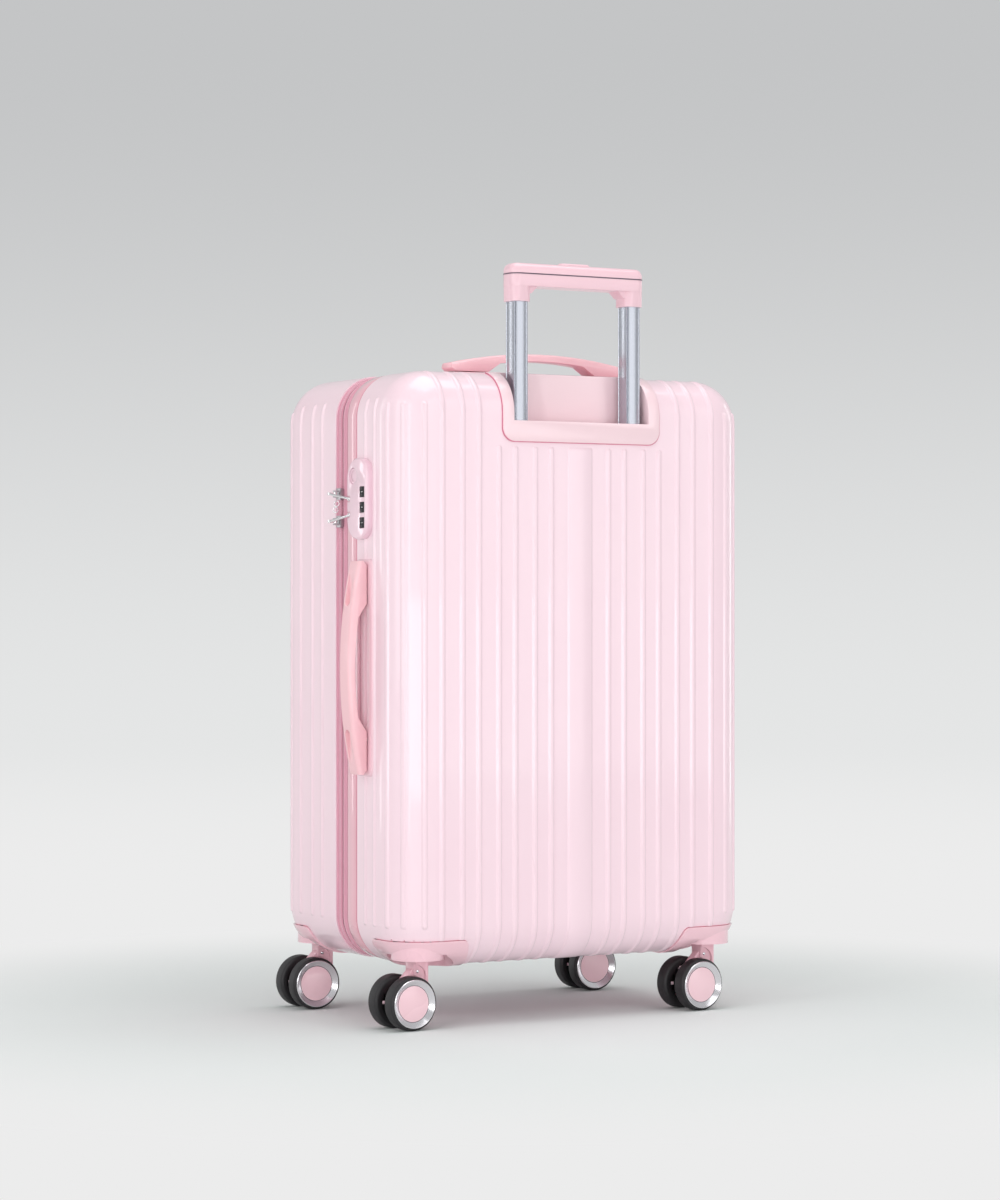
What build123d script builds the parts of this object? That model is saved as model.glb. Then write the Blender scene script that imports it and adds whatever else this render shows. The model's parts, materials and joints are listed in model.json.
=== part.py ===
from build123d import *
from build123d.topology import SkipClean
import math
import os

os.makedirs("parts", exist_ok=True)

# Hard shell spinner suitcase, millimetres.
# +Z is up, -Y is the back face with the trolley handle, -X is the side with the lock
# and the carrying handle, +X is the hinge side. The origin is on the floor, under the middle.

# The case: one ribbed rounded box, cut by the zip into a front and a back half.
WIDTH = 416.0
DEPTH = 272.0
CASE_TOP = 658.0
CASE_BOTTOM = 61.0
OUTLINE_RADIUS = 46.0    # corners of the case seen from the front
EDGE_RADIUS = 42.0       # rounding from the front and back faces to the sides
WALL = 2.2

# Ribs moulded into the shells, in pairs, with one wide panel in the middle.
RIB_HEIGHT = 1.6
RIB_WIDTH = 7.0
RIB_CREST = 3.0
PANEL_WIDTH = 30.0
RIB_PAIR_PITCH = 42.0
RIB_PAIR_OFFSETS = (34.0, 53.0)
SIDE_RIB_PLACES = (-82.0, -63.0, 22.0, 44.0, 66.0, 88.0)
CORNER_RIB_ANGLES = (18.0, 47.0, 74.0)
RIB_END_BOTTOM = 104.0    # the ribs on the sides and corners end in round tips
SIDE_RIB_END_TOP = 628.0
CORNER_RIB_END_TOP = 622.0

# The seam, from the back shell to the front shell.
ZIP_Y = -9.5
BACK_SHELL_EDGE = -45.0
BAND_EDGE = -21.0
FRONT_SHELL_EDGE = 2.0
BAND_INSET = 0.6
WELT_WIDTH = 4.0
WELT_INSET = 1.7
TAPE_INSET = 1.4
TAPE_THICKNESS = 1.2
ZIP_GAP = 0.6

# Trolley: a moulded cup let into the back shell, and two telescopic tubes with a grip.
# It sits a little off the middle, towards the hinge side.
TROLLEY_X = 2.0
CUP_HALF_WIDTH = 80.0
CUP_FLOOR = 600.0
CUP_LIP_TOP = 609.0
CUP_BACK = -104.0
CUP_WALL = 2.2
FLANGE_BOTTOM = 588.0
FLANGE_HALF_WIDTH = 93.0
FLANGE_RADIUS = 14.0
FLANGE_THICKNESS = 1.9
TUBE_X = 67.0
TUBE_Y = -120.0
INNER_TUBE = (16.8, 20.0, 3.2)
INNER_TUBE_WALL = 1.2
OUTER_TUBE = (19.6, 22.8, 4.6)
TUBE_GAP = 0.4
OUTER_TUBE_BOTTOM = 97.0
STOW_TRAVEL = 116.0
INNER_TUBE_BOTTOM = 100.0 + STOW_TRAVEL
GRIP_HALF_LENGTH = 79.0
GRIP_DEPTH = 27.0
GRIP_RADIUS = 10.0
SLEEVE_ENDS = ((22.4, 25.0, 7.5), (23.6, 26.4, 9.4))    # section at the tube, and at the bar
GRIP_SEAM = 757.6
GRIP_BAR_BOTTOM = 745.5
SLEEVE_BOTTOM = 730.0
GRIP_TOP = 769.0
SEAM_GAP = 0.6
LINK_BAR_BOTTOM = 751.5
LINK_BAR_HEIGHT = 3.0
CHANNEL_FLOOR = 747.0
BUTTON_LENGTH = 36.0
BUTTON_WIDTH = 12.0
BUTTON_TOP = 771.0
BUTTON_TRAVEL = 3.5

# The two carrying handles are one moulding: length, width and height above the shell.
HANDLE_LENGTH = 214.0
HANDLE_WIDTH = 22.0
HANDLE_RISE = 25.0
HANDLE_BASE = (218.0, 40.0, 3.0)
HANDLE_BASE_RADIUS = 9.0
HANDLE_SLIT = 1.6
STEM_OFFSET = 86.0
STEM_SIZE = (20.0, 6.0)
STEM_REACH = 13.0
TOP_HANDLE_Y = -50.0
SIDE_HANDLE_Y = -63.5
SIDE_HANDLE_Z = 360.0

# Combination lock on the -X side.
LOCK_Y = -59.0
LOCK_Z = 530.0
LOCK_SIZE = (82.0, 44.0, 8.0)
LOCK_RADIUS = 20.0
LOCK_INNER = (70.0, 40.0, 10.0)
DIAL_Y = -70.5
DIAL_Z = (536.5, 521.0, 505.5)
DIAL_RADIUS = 7.0
DIAL_WIDTH = 10.0
DIAL_DEPTH = 5.5         # dial axis below the lock's face
LOCK_BUTTON_Y = -51.0
LOCK_BUTTON_Z = 553.0
LOCK_BUTTON_RADIUS = 7.8

# Zip sliders and their pullers: slider height, and height of the socket that holds the tip.
PULLERS = {"upper": (536.0, 530.0), "lower": (508.0, 514.0)}
PULLER_PIVOT_X = -214.5
PULLER_ARM = 7.0
PULLER_REACH = 32.5

# Casters: swivel axis, trail towards -X, turn of the near pair at rest.
SWIVEL_X = 171.0
SWIVEL_Y = 104.0
HOUSING_X = 130.0
HOUSING_Y = 70.0
HOUSING_TOP = 88.0
HOUSING_SKIN = 2.0
HOUSING_CORNER = 7.0
HOUSING_FLARE = 26.0     # how much further in the housing reaches at floor height
DISH_RADIUS = 31.0
DISH_CEILING = 74.0
DISH_WALL = 2.5
DISH_POCKET = (16.0, 22.0)   # second circle of the dish: its shift inwards and its radius
TURRET_RADIUS = 26.5
TURRET_BOTTOM = 68.6
TURRET_TOP = 84.0
KINGPIN_RADIUS = 5.0
KINGPIN_TOP = 88.0
RUNNING_GAP = 0.05
TRAIL = 18.0
SHOULDER_X = (-9.0, 7.5)
SHOULDER_HALF = 10.0
ARCH = (-8.5, 52.0, 12.5)    # round pocket in the fork's cheek: centre and radius
CHEEK_HALF = 7.5
LEG_HALF = 4.5
WHEEL_RADIUS = 27.0
WHEEL_INNER_FACE = 7.0
WHEEL_OUTER_FACE = 22.5
HUB_RADIUS = 20.5
HUB_RIM = 20.6           # hub and rim faces under the cap, from the fork
HUB_FACE = 19.6
SPOKES = 5
AXLE_RADIUS = 3.0
AXLE_HALF = 19.0
CASTERS = {
    "back_left": (-1, -1, 5.0),
    "back_right": (1, -1, 5.0),
    "front_left": (-1, 1, 0.0),
    "front_right": (1, 1, 0.0),
}

# The side handle stands out on one side only, so the middle of the whole lies off the case's.
ORIGIN_SHIFT = 11.5

CASE_HEIGHT = CASE_TOP - CASE_BOTTOM
CASE_MIDDLE = (CASE_TOP + CASE_BOTTOM) / 2
FAR = 1000.0


def save(name, shape):
    """Writes one named piece, moved from the case's middle to the part's own."""
    export_step(Pos(ORIGIN_SHIFT, 0, 0) * shape, f"parts/{name}.step")


def block(x0, x1, y0, y1, z0, z1):
    """A box between two corners."""
    middle = ((x0 + x1) / 2, (y0 + y1) / 2, (z0 + z1) / 2)
    return Pos(*middle) * Box(x1 - x0, y1 - y0, z1 - z0)


def post(x, y, z0, z1, radius):
    """An upright cylinder."""
    return Pos(x, y, (z0 + z1) / 2) * Cylinder(radius, z1 - z0)


def rounded_case(inset=0.0):
    """The plain rounded body of the case, moved inwards by inset all over."""
    body = Box(WIDTH - 2 * inset, DEPTH - 2 * inset, CASE_HEIGHT - 2 * inset)
    body = fillet(body.edges().filter_by(Axis.Y), OUTLINE_RADIUS - inset)
    faces = body.faces().sort_by(Axis.Y)
    body = fillet(faces[0].edges() + faces[-1].edges(), EDGE_RADIUS - inset)
    return Pos(0, 0, CASE_MIDDLE) * body


def outline_ring(inset, thickness, y0, y1):
    """A band round the seam, between two distances from the back, inset below the shell."""
    ring = Plane.XZ * (
        RectangleRounded(WIDTH - 2 * inset, CASE_HEIGHT - 2 * inset, OUTLINE_RADIUS - inset)
        - RectangleRounded(
            WIDTH - 2 * (inset + thickness),
            CASE_HEIGHT - 2 * (inset + thickness),
            OUTLINE_RADIUS - inset - thickness,
        )
    )
    return Pos(0, y1, CASE_MIDDLE) * extrude(ring, y1 - y0)


def rib_plate(plane, width, height, radius, crest, base):
    """One rib as a slice of a slightly larger case, with sloping flanks."""
    outline = plane * RectangleRounded(width, height, radius)
    flank = (base - crest) / 2
    slope = math.degrees(math.atan2(RIB_HEIGHT, flank))
    plate = extrude(outline, crest / 2, both=True)
    for side in (1, -1):
        start = plane.offset(side * crest / 2)
        face = start * RectangleRounded(width, height, radius)
        plate += extrude(face, side * flank, taper=slope)
    return plate


def face_rib_places():
    """Distances of the face ribs from the middle, in pairs."""
    places = [RIB_PAIR_PITCH * pair + offset for pair in range(4) for offset in RIB_PAIR_OFFSETS]
    return [x for x in places if x < WIDTH / 2 - OUTLINE_RADIUS]


def face_ribs():
    """Ribs that run up the front and back faces and fade out over the top and bottom."""
    tall = CASE_HEIGHT - 0.4
    deep = DEPTH + 2 * RIB_HEIGHT
    ribs = []
    for x in face_rib_places():
        for side in (-1, 1):
            plane = Plane(origin=(side * x, 0, CASE_MIDDLE), x_dir=(0, 1, 0), z_dir=(1, 0, 0))
            ribs.append(rib_plate(plane, deep, tall, EDGE_RADIUS, RIB_CREST, RIB_WIDTH))
    middle = Plane(origin=(0, 0, CASE_MIDDLE), x_dir=(0, 1, 0), z_dir=(1, 0, 0))
    crest = PANEL_WIDTH - (RIB_WIDTH - RIB_CREST)
    ribs.append(rib_plate(middle, deep, tall, EDGE_RADIUS, crest, PANEL_WIDTH))
    return ribs


def side_ribs():
    """Ribs with round ends that run up both narrow sides."""
    wide = WIDTH + 2 * RIB_HEIGHT
    tall = CASE_HEIGHT - 0.4
    ribs = []
    for y in SIDE_RIB_PLACES:
        plane = Plane(origin=(0, y, CASE_MIDDLE), x_dir=(1, 0, 0), z_dir=(0, 1, 0))
        plate = rib_plate(plane, wide, tall, OUTLINE_RADIUS, RIB_CREST, RIB_WIDTH)
        middle = (SIDE_RIB_END_TOP + RIB_END_BOTTOM) / 2
        across = Plane(origin=(0, y, middle), x_dir=(0, 0, 1), z_dir=(1, 0, 0))
        ends = SlotOverall(SIDE_RIB_END_TOP - RIB_END_BOTTOM, RIB_WIDTH)
        ribs.append(plate & extrude(across * ends, WIDTH, both=True))
    return ribs


def corner_ribs():
    """Upright ribs with round ends on the four rounded corners."""
    slope = math.degrees(math.atan2((RIB_WIDTH - RIB_CREST) / 2, RIB_HEIGHT))
    length = CORNER_RIB_END_TOP - RIB_END_BOTTOM
    middle = (CORNER_RIB_END_TOP + RIB_END_BOTTOM) / 2
    ribs = []
    for side_x in (-1, 1):
        for side_y in (-1, 1):
            for degrees in CORNER_RIB_ANGLES:
                angle = math.radians(degrees)
                normal = (side_x * math.sin(angle), side_y * math.cos(angle), 0)
                x = side_x * (WIDTH / 2 - EDGE_RADIUS) + EDGE_RADIUS * normal[0]
                y = side_y * (DEPTH / 2 - EDGE_RADIUS) + EDGE_RADIUS * normal[1]
                plane = Plane(origin=(x, y, middle), x_dir=(0, 0, 1), z_dir=normal)
                crest = extrude(plane * SlotOverall(length, RIB_WIDTH), RIB_HEIGHT, taper=slope)
                root = extrude(plane * SlotOverall(length, RIB_WIDTH), -1.0)
                ribs.append(crest + root)
    return ribs


def in_slices(body, ribs):
    """The body with its ribs, in one solid whose rounded edges stay parted under each face rib."""
    cuts = sorted([-x for x in face_rib_places()] + face_rib_places())
    ends = [-FAR] + cuts + [FAR]
    slices = [body & block(low, high, -FAR, FAR, -FAR, FAR) for low, high in zip(ends, ends[1:])]
    return slices[0].fuse(*slices[1:], *ribs)


def corner_region(side_x, side_y):
    """The corner of the case that a caster housing takes the place of."""
    outline = Polyline(
        (side_x * HOUSING_X, HOUSING_TOP), (side_x * FAR, HOUSING_TOP),
        (side_x * FAR, 0), (side_x * (HOUSING_X - HOUSING_FLARE), 0), close=True,
    )
    region = extrude(Plane.XZ * make_face(outline), FAR)
    region = Pos(0, FAR + HOUSING_Y if side_y > 0 else -HOUSING_Y, 0) * region
    rims = region.faces().sort_by(Axis.Z)[-1].edges()
    along_x = rims.filter_by(Axis.X).sort_by(lambda edge: abs(edge.center().Y))[0]
    along_y = rims.filter_by(Axis.Y).sort_by(lambda edge: abs(edge.center().X))[0]
    return fillet([along_x, along_y], HOUSING_CORNER)


def flange_region():
    """The U-shaped outline of the trolley cup, open at the top."""
    height = CASE_TOP + 60 - FLANGE_BOTTOM
    shape = Plane.XZ * RectangleRounded(2 * FLANGE_HALF_WIDTH, height, FLANGE_RADIUS)
    prism = extrude(shape, DEPTH)
    return Pos(TROLLEY_X, CUP_BACK + 4, FLANGE_BOTTOM + height / 2) * prism


def side_footprint(length, width, radius, y, z):
    """The outline of a piece mounted on the -X side, as a prism that stands out of the shell."""
    plane = Plane(origin=(-WIDTH / 2, y, z), x_dir=(0, 0, 1), z_dir=(-1, 0, 0))
    return extrude(plane * RectangleRounded(length, width, radius), 6.0)


# The two shells: body and ribs together, hollowed, then cut at the seam.
case_body = rounded_case()
inner_space = rounded_case(WALL)
skin_body = rounded_case(-HOUSING_SKIN)
footprints = [
    side_footprint(HANDLE_BASE[0], HANDLE_BASE[1], HANDLE_BASE_RADIUS, SIDE_HANDLE_Y, SIDE_HANDLE_Z),
    side_footprint(LOCK_SIZE[0], LOCK_SIZE[1], LOCK_RADIUS, LOCK_Y, LOCK_Z),
]
flange_clearance = (rounded_case(-3.0) - case_body) & flange_region()
cup_outside = block(
    TROLLEY_X - CUP_HALF_WIDTH - CUP_WALL, TROLLEY_X + CUP_HALF_WIDTH + CUP_WALL,
    -FAR, CUP_BACK + CUP_WALL, CUP_FLOOR - CUP_WALL, FAR,
)
lock_hole = block(
    -FAR, -WIDTH / 2 + 20,
    LOCK_Y - LOCK_INNER[1] / 2, LOCK_Y + LOCK_INNER[1] / 2,
    LOCK_Z - LOCK_INNER[0] / 2, LOCK_Z + LOCK_INNER[0] / 2,
)

# Slots in the shell for the stems of the carrying handles.
slot_u = STEM_SIZE[0] / 2 + TUBE_GAP
slot_v = STEM_SIZE[1] / 2 + TUBE_GAP
stem_slots = []
for side in (-1, 1):
    x = side * STEM_OFFSET
    stem_slots.append(
        block(x - slot_u, x + slot_u, TOP_HANDLE_Y - slot_v, TOP_HANDLE_Y + slot_v, CASE_TOP - 20, FAR)
    )
    z = SIDE_HANDLE_Z + side * STEM_OFFSET
    stem_slots.append(
        block(-FAR, -WIDTH / 2 + 20, SIDE_HANDLE_Y - slot_v, SIDE_HANDLE_Y + slot_v, z - slot_u, z + slot_u)
    )

with SkipClean():
    hollow = in_slices(case_body, face_ribs() + side_ribs() + corner_ribs()) - inner_space
    for side_x, side_y, _ in CASTERS.values():
        hollow -= corner_region(side_x, side_y)
    front_shell = hollow & block(-FAR, FAR, FRONT_SHELL_EDGE, FAR, -FAR, FAR)
    back_shell = hollow & block(-FAR, FAR, -FAR, BACK_SHELL_EDGE, -FAR, FAR)
    for cut in [flange_clearance, *footprints, cup_outside, lock_hole, *stem_slots]:
        back_shell -= cut
save("front_shell", front_shell)
save("back_shell", back_shell)

# The smooth band between the back shell and the zip, with a sunk welt where it meets the shell.
middle_band = outline_ring(BAND_INSET, 3.0, BACK_SHELL_EDGE + WELT_WIDTH, BAND_EDGE)
middle_band += outline_ring(WELT_INSET, 1.9, BACK_SHELL_EDGE, BACK_SHELL_EDGE + WELT_WIDTH)
middle_band -= lock_hole
save("middle_band", middle_band)

# The two halves of the zip's tape.
save("zip_tape_back", outline_ring(TAPE_INSET, TAPE_THICKNESS, BAND_EDGE, ZIP_Y - ZIP_GAP / 2))
save("zip_tape_front", outline_ring(TAPE_INSET, TAPE_THICKNESS, ZIP_Y + ZIP_GAP / 2, FRONT_SHELL_EDGE))

# The trolley cup: a tray with an open top, a low lip in front and a flange over the shell.
tray = cup_outside & case_body & block(-FAR, FAR, -FAR, FAR, 0, FAR)
cup_left = TROLLEY_X - CUP_HALF_WIDTH
cup_right = TROLLEY_X + CUP_HALF_WIDTH
cup_space = block(cup_left, cup_right, -DEPTH / 2 + 3.0, CUP_BACK, CUP_FLOOR, FAR)
cup_mouth = block(cup_left, cup_right, -FAR, CUP_BACK, CUP_LIP_TOP, FAR)
flange = (rounded_case(-FLANGE_THICKNESS) - case_body) & flange_region()
flange &= block(-FAR, FAR, -FAR, CUP_BACK + CUP_WALL, 0, FAR)
handle_cup = tray + flange - cup_space - cup_mouth


def tube_x(side):
    """The middle of the left or the right tube."""
    return TROLLEY_X + side * TUBE_X


def tube_outline(size, grow=0.0):
    """The rounded section of a trolley tube."""
    return RectangleRounded(size[0] + 2 * grow, size[1] + 2 * grow, size[2] + grow)


def tube_prism(size, side, z0, z1, grow=0.0):
    """A solid bar with a tube's section."""
    return Pos(tube_x(side), TUBE_Y, z0) * extrude(tube_outline(size, grow), z1 - z0)


for side in (-1, 1):
    handle_cup -= tube_prism(OUTER_TUBE, side, CUP_FLOOR - 10, CUP_FLOOR + 1)
save("handle_cup", handle_cup)

# Telescopic tubes: the outer pair is fixed between the cup and the foot, the inner pair slides.
outer_tubes = []
inner_tubes = []
for side in (-1, 1):
    outer = tube_prism(OUTER_TUBE, side, OUTER_TUBE_BOTTOM, CUP_FLOOR)
    outer -= tube_prism(INNER_TUBE, side, OUTER_TUBE_BOTTOM, CUP_FLOOR, TUBE_GAP)
    outer_tubes.append(outer)
    inner = tube_prism(INNER_TUBE, side, INNER_TUBE_BOTTOM, CHANNEL_FLOOR)
    inner -= tube_prism(INNER_TUBE, side, INNER_TUBE_BOTTOM, CHANNEL_FLOOR, -INNER_TUBE_WALL)
    inner_tubes.append(inner)
save("outer_tubes", Compound(children=outer_tubes))
save("inner_tubes", Compound(children=inner_tubes))

# The foot bracket takes the lower ends of the outer tubes and beds on the rounded shell.
foot_half_depth = OUTER_TUBE[1] / 2 + 1.4
trolley_foot = block(
    tube_x(-1) - 15, tube_x(1) + 15, TUBE_Y - foot_half_depth, TUBE_Y + foot_half_depth,
    CASE_BOTTOM, OUTER_TUBE_BOTTOM + 14,
) & inner_space
trolley_foot -= block(tube_x(-1) + 15, tube_x(1) - 15, -FAR, FAR, OUTER_TUBE_BOTTOM - 5, FAR)
for side in (-1, 1):
    trolley_foot -= tube_prism(OUTER_TUBE, side, OUTER_TUBE_BOTTOM, OUTER_TUBE_BOTTOM + 40)
save("trolley_foot", trolley_foot)

# The stiff liner board that hides the tubes from the packing space.
liner_board = inner_space & block(-FAR, FAR, -101.2, -99.2, -FAR, FAR)
for side in (-1, 1):
    well_x = side * SWIVEL_X
    liner_board -= block(
        min(well_x - side * 42, side * FAR), max(well_x - side * 42, side * FAR), -FAR, FAR, -FAR, 96
    )
save("liner_board", liner_board)

# The grip: a body with two sleeves over the tubes, and a cover that snaps on from above.
grip_plan = RectangleRounded(2 * GRIP_HALF_LENGTH, GRIP_DEPTH, GRIP_RADIUS)
grip_body = Pos(TROLLEY_X, TUBE_Y, GRIP_BAR_BOTTOM) * extrude(grip_plan, GRIP_SEAM - GRIP_BAR_BOTTOM)
sleeve_low, sleeve_high = SLEEVE_ENDS
sleeve_height = GRIP_BAR_BOTTOM + 1 - SLEEVE_BOTTOM
sleeve = loft([RectangleRounded(*sleeve_low), Pos(0, 0, sleeve_height) * RectangleRounded(*sleeve_high)])
for side in (-1, 1):
    grip_body += Pos(tube_x(side), TUBE_Y, SLEEVE_BOTTOM) * sleeve
    web = make_face(Polyline((-side, 0), (-side * 8, 0), (-side, -7), (side, -7), (side, 0), close=True))
    corner = Pos(tube_x(side) - side * 11.2, TUBE_Y + 9, GRIP_BAR_BOTTOM) * extrude(Plane.XZ * web, 18)
    grip_body += corner
for side in (-1, 1):
    grip_body -= tube_prism(INNER_TUBE, side, SLEEVE_BOTTOM - 1, CHANNEL_FLOOR)
channel_end = TUBE_X + 7.5
grip_body -= block(
    TROLLEY_X - channel_end, TROLLEY_X + channel_end, TUBE_Y - 5, TUBE_Y + 5, CHANNEL_FLOOR, FAR
)
save("grip_body", grip_body)

cover_height = GRIP_TOP - GRIP_SEAM - SEAM_GAP
grip_cover = Pos(TROLLEY_X, TUBE_Y, GRIP_SEAM + SEAM_GAP) * extrude(grip_plan, cover_height)
grip_cover = fillet(grip_cover.faces().sort_by(Axis.Z)[-1].edges(), 8.0)
tongue = RectangleRounded(2 * channel_end, 18, 7)
grip_cover += Pos(TROLLEY_X, TUBE_Y, GRIP_SEAM) * extrude(tongue, SEAM_GAP)
button_hole = RectangleRounded(BUTTON_LENGTH + 0.8, BUTTON_WIDTH + 0.8, BUTTON_WIDTH / 2 + 0.3)
grip_cover -= Pos(TROLLEY_X, TUBE_Y, GRIP_SEAM) * extrude(button_hole, 30)
save("grip_cover", grip_cover)

# The release button presses a link bar and two rods that run down inside the inner tubes.
link_top = LINK_BAR_BOTTOM + LINK_BAR_HEIGHT
button_bottom = GRIP_SEAM + BUTTON_TRAVEL + 0.4
button_plan = RectangleRounded(BUTTON_LENGTH, BUTTON_WIDTH, BUTTON_WIDTH / 2 - 0.1)
release_button = Pos(TROLLEY_X, TUBE_Y, button_bottom) * extrude(button_plan, BUTTON_TOP - button_bottom)
release_button = chamfer(release_button.faces().sort_by(Axis.Z)[-1].edges(), 1.0)
release_button += block(TROLLEY_X - 14, TROLLEY_X + 14, TUBE_Y - 4, TUBE_Y + 4, link_top, button_bottom)
save("release_button", release_button)
release_rods = block(
    TROLLEY_X - 70, TROLLEY_X + 70, TUBE_Y - 4, TUBE_Y + 4, LINK_BAR_BOTTOM, link_top
)
for side in (-1, 1):
    x = tube_x(side)
    release_rods += post(x, TUBE_Y, INNER_TUBE_BOTTOM + 14, LINK_BAR_BOTTOM, 2.0)
    release_rods += block(
        x - 5, x + 5, TUBE_Y - 6, TUBE_Y + 6, INNER_TUBE_BOTTOM + 6, INNER_TUBE_BOTTOM + 24
    )
save("release_rods", release_rods)


def handle_strap():
    """The bowed strap and its two thick ends, lying along X with its outside up."""
    end = HANDLE_LENGTH / 2
    low = HANDLE_BASE[2] + HANDLE_SLIT
    outside = ThreePointArc((-end, 13.0), (0, HANDLE_RISE), (end, 13.0))
    inside = ThreePointArc((50, 14.0), (0, HANDLE_RISE - 7.5), (-50, 14.0))
    right = Polyline((end, 13.0), (end, 8.0), (end - 4, low), (64, low), (50, 14.0))
    left = Polyline((-50, 14.0), (-64, low), (-end + 4, low), (-end, 8.0), (-end, 13.0))
    profile = Plane.XZ * make_face(outside + right + inside + left)
    strap = Pos(0, HANDLE_WIDTH / 2, 0) * extrude(profile, HANDLE_WIDTH)
    tops = strap.faces().sort_by(Axis.Z)[-1].edges().filter_by(GeomType.CIRCLE)
    strap = fillet(tops, 4.0)
    for side in (-1, 1):
        recess = Plane.XY.offset(30) * Pos(side * 82, 0) * SlotOverall(40, 10)
        cut = extrude(recess, -14.5)
        strap -= cut
        strap += block(
            side * STEM_OFFSET - STEM_SIZE[0] / 2, side * STEM_OFFSET + STEM_SIZE[0] / 2,
            -STEM_SIZE[1] / 2, STEM_SIZE[1] / 2, -STEM_REACH, low + 1,
        )
    return strap


def handle_base():
    """The base frame under a strap: a plate with a long pointed window and two stem slots."""
    plate = extrude(RectangleRounded(HANDLE_BASE[0], HANDLE_BASE[1], HANDLE_BASE_RADIUS), HANDLE_BASE[2])
    plate = chamfer(plate.faces().sort_by(Axis.Z)[-1].edges(), 1.5)
    window = make_face(
        Polyline((66, 0), (52, 11), (-52, 11), (-66, 0), (-52, -11), (52, -11), close=True)
    )
    plate -= extrude(window, 10)
    for side in (-1, 1):
        x = side * STEM_OFFSET
        plate -= block(x - slot_u, x + slot_u, -slot_v, slot_v, -1, 10)
    return plate


on_top = Pos(0, TOP_HANDLE_Y, CASE_TOP)
on_side = Location(
    Plane(origin=(-WIDTH / 2, SIDE_HANDLE_Y, SIDE_HANDLE_Z), x_dir=(0, 0, 1), z_dir=(-1, 0, 0))
)
save("top_handle", on_top * handle_strap())
save("top_handle_base", on_top * handle_base())
save("side_handle", on_side * handle_strap())
save("side_handle_base", on_side * handle_base())

# The lock: a rounded housing through the shell, with its dials on a fixed spindle.
lock_plane = Plane(origin=(-WIDTH / 2, LOCK_Y, LOCK_Z), x_dir=(0, 0, 1), z_dir=(-1, 0, 0))
lock_body = extrude(lock_plane * RectangleRounded(LOCK_SIZE[0], LOCK_SIZE[1], LOCK_RADIUS), LOCK_SIZE[2])
lock_body = chamfer(lock_body.faces().sort_by(Axis.X)[0].edges(), 2.0)
lock_body += block(
    -WIDTH / 2, -WIDTH / 2 + LOCK_INNER[2],
    LOCK_Y - LOCK_INNER[1] / 2, LOCK_Y + LOCK_INNER[1] / 2,
    LOCK_Z - LOCK_INNER[0] / 2, LOCK_Z + LOCK_INNER[0] / 2,
)
lock_face = -WIDTH / 2 - LOCK_SIZE[2]
dial_x = lock_face + DIAL_DEPTH
spindle = post(dial_x, DIAL_Y, DIAL_Z[-1] - 8, DIAL_Z[0] + 8, 2.0)
for dial_z in DIAL_Z:
    half = DIAL_WIDTH / 2
    well = post(dial_x, DIAL_Y, dial_z - half - 0.4, dial_z + half + 0.4, DIAL_RADIUS + 0.4)
    lock_body -= well - spindle
button_well = Plane(origin=(lock_face, LOCK_BUTTON_Y, LOCK_BUTTON_Z), x_dir=(0, 0, 1), z_dir=(1, 0, 0))
lock_body -= extrude(button_well * Circle(LOCK_BUTTON_RADIUS + 0.4), 9.0)
for _, tip_z in PULLERS.values():
    lock_body -= block(lock_face, lock_face + 5.5, -44.5, LOCK_Y + LOCK_SIZE[1] / 2, tip_z - 3.2, tip_z + 3.2)
save("lock_body", lock_body)

button_start = button_well.offset(1.0)
lock_button = extrude(button_start * Circle(LOCK_BUTTON_RADIUS), 5.0)
save("lock_button", lock_button)

for number, dial_z in enumerate(DIAL_Z, start=1):
    half = DIAL_WIDTH / 2
    dial = post(dial_x, DIAL_Y, dial_z - half, dial_z + half, DIAL_RADIUS - 1.0)
    ring = post(dial_x, DIAL_Y, dial_z - 2.2, dial_z + 2.2, DIAL_RADIUS)
    for step in range(10):
        angle = math.radians(36 * step)
        notch_x = dial_x + DIAL_RADIUS * math.cos(angle)
        notch_y = DIAL_Y + DIAL_RADIUS * math.sin(angle)
        ring -= post(notch_x, notch_y, dial_z - 3, dial_z + 3, 1.0)
    dial += ring
    dial -= post(dial_x, DIAL_Y, dial_z - 6, dial_z + 6, 2.0 + RUNNING_GAP)
    save(f"dial_{number}", dial)

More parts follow.
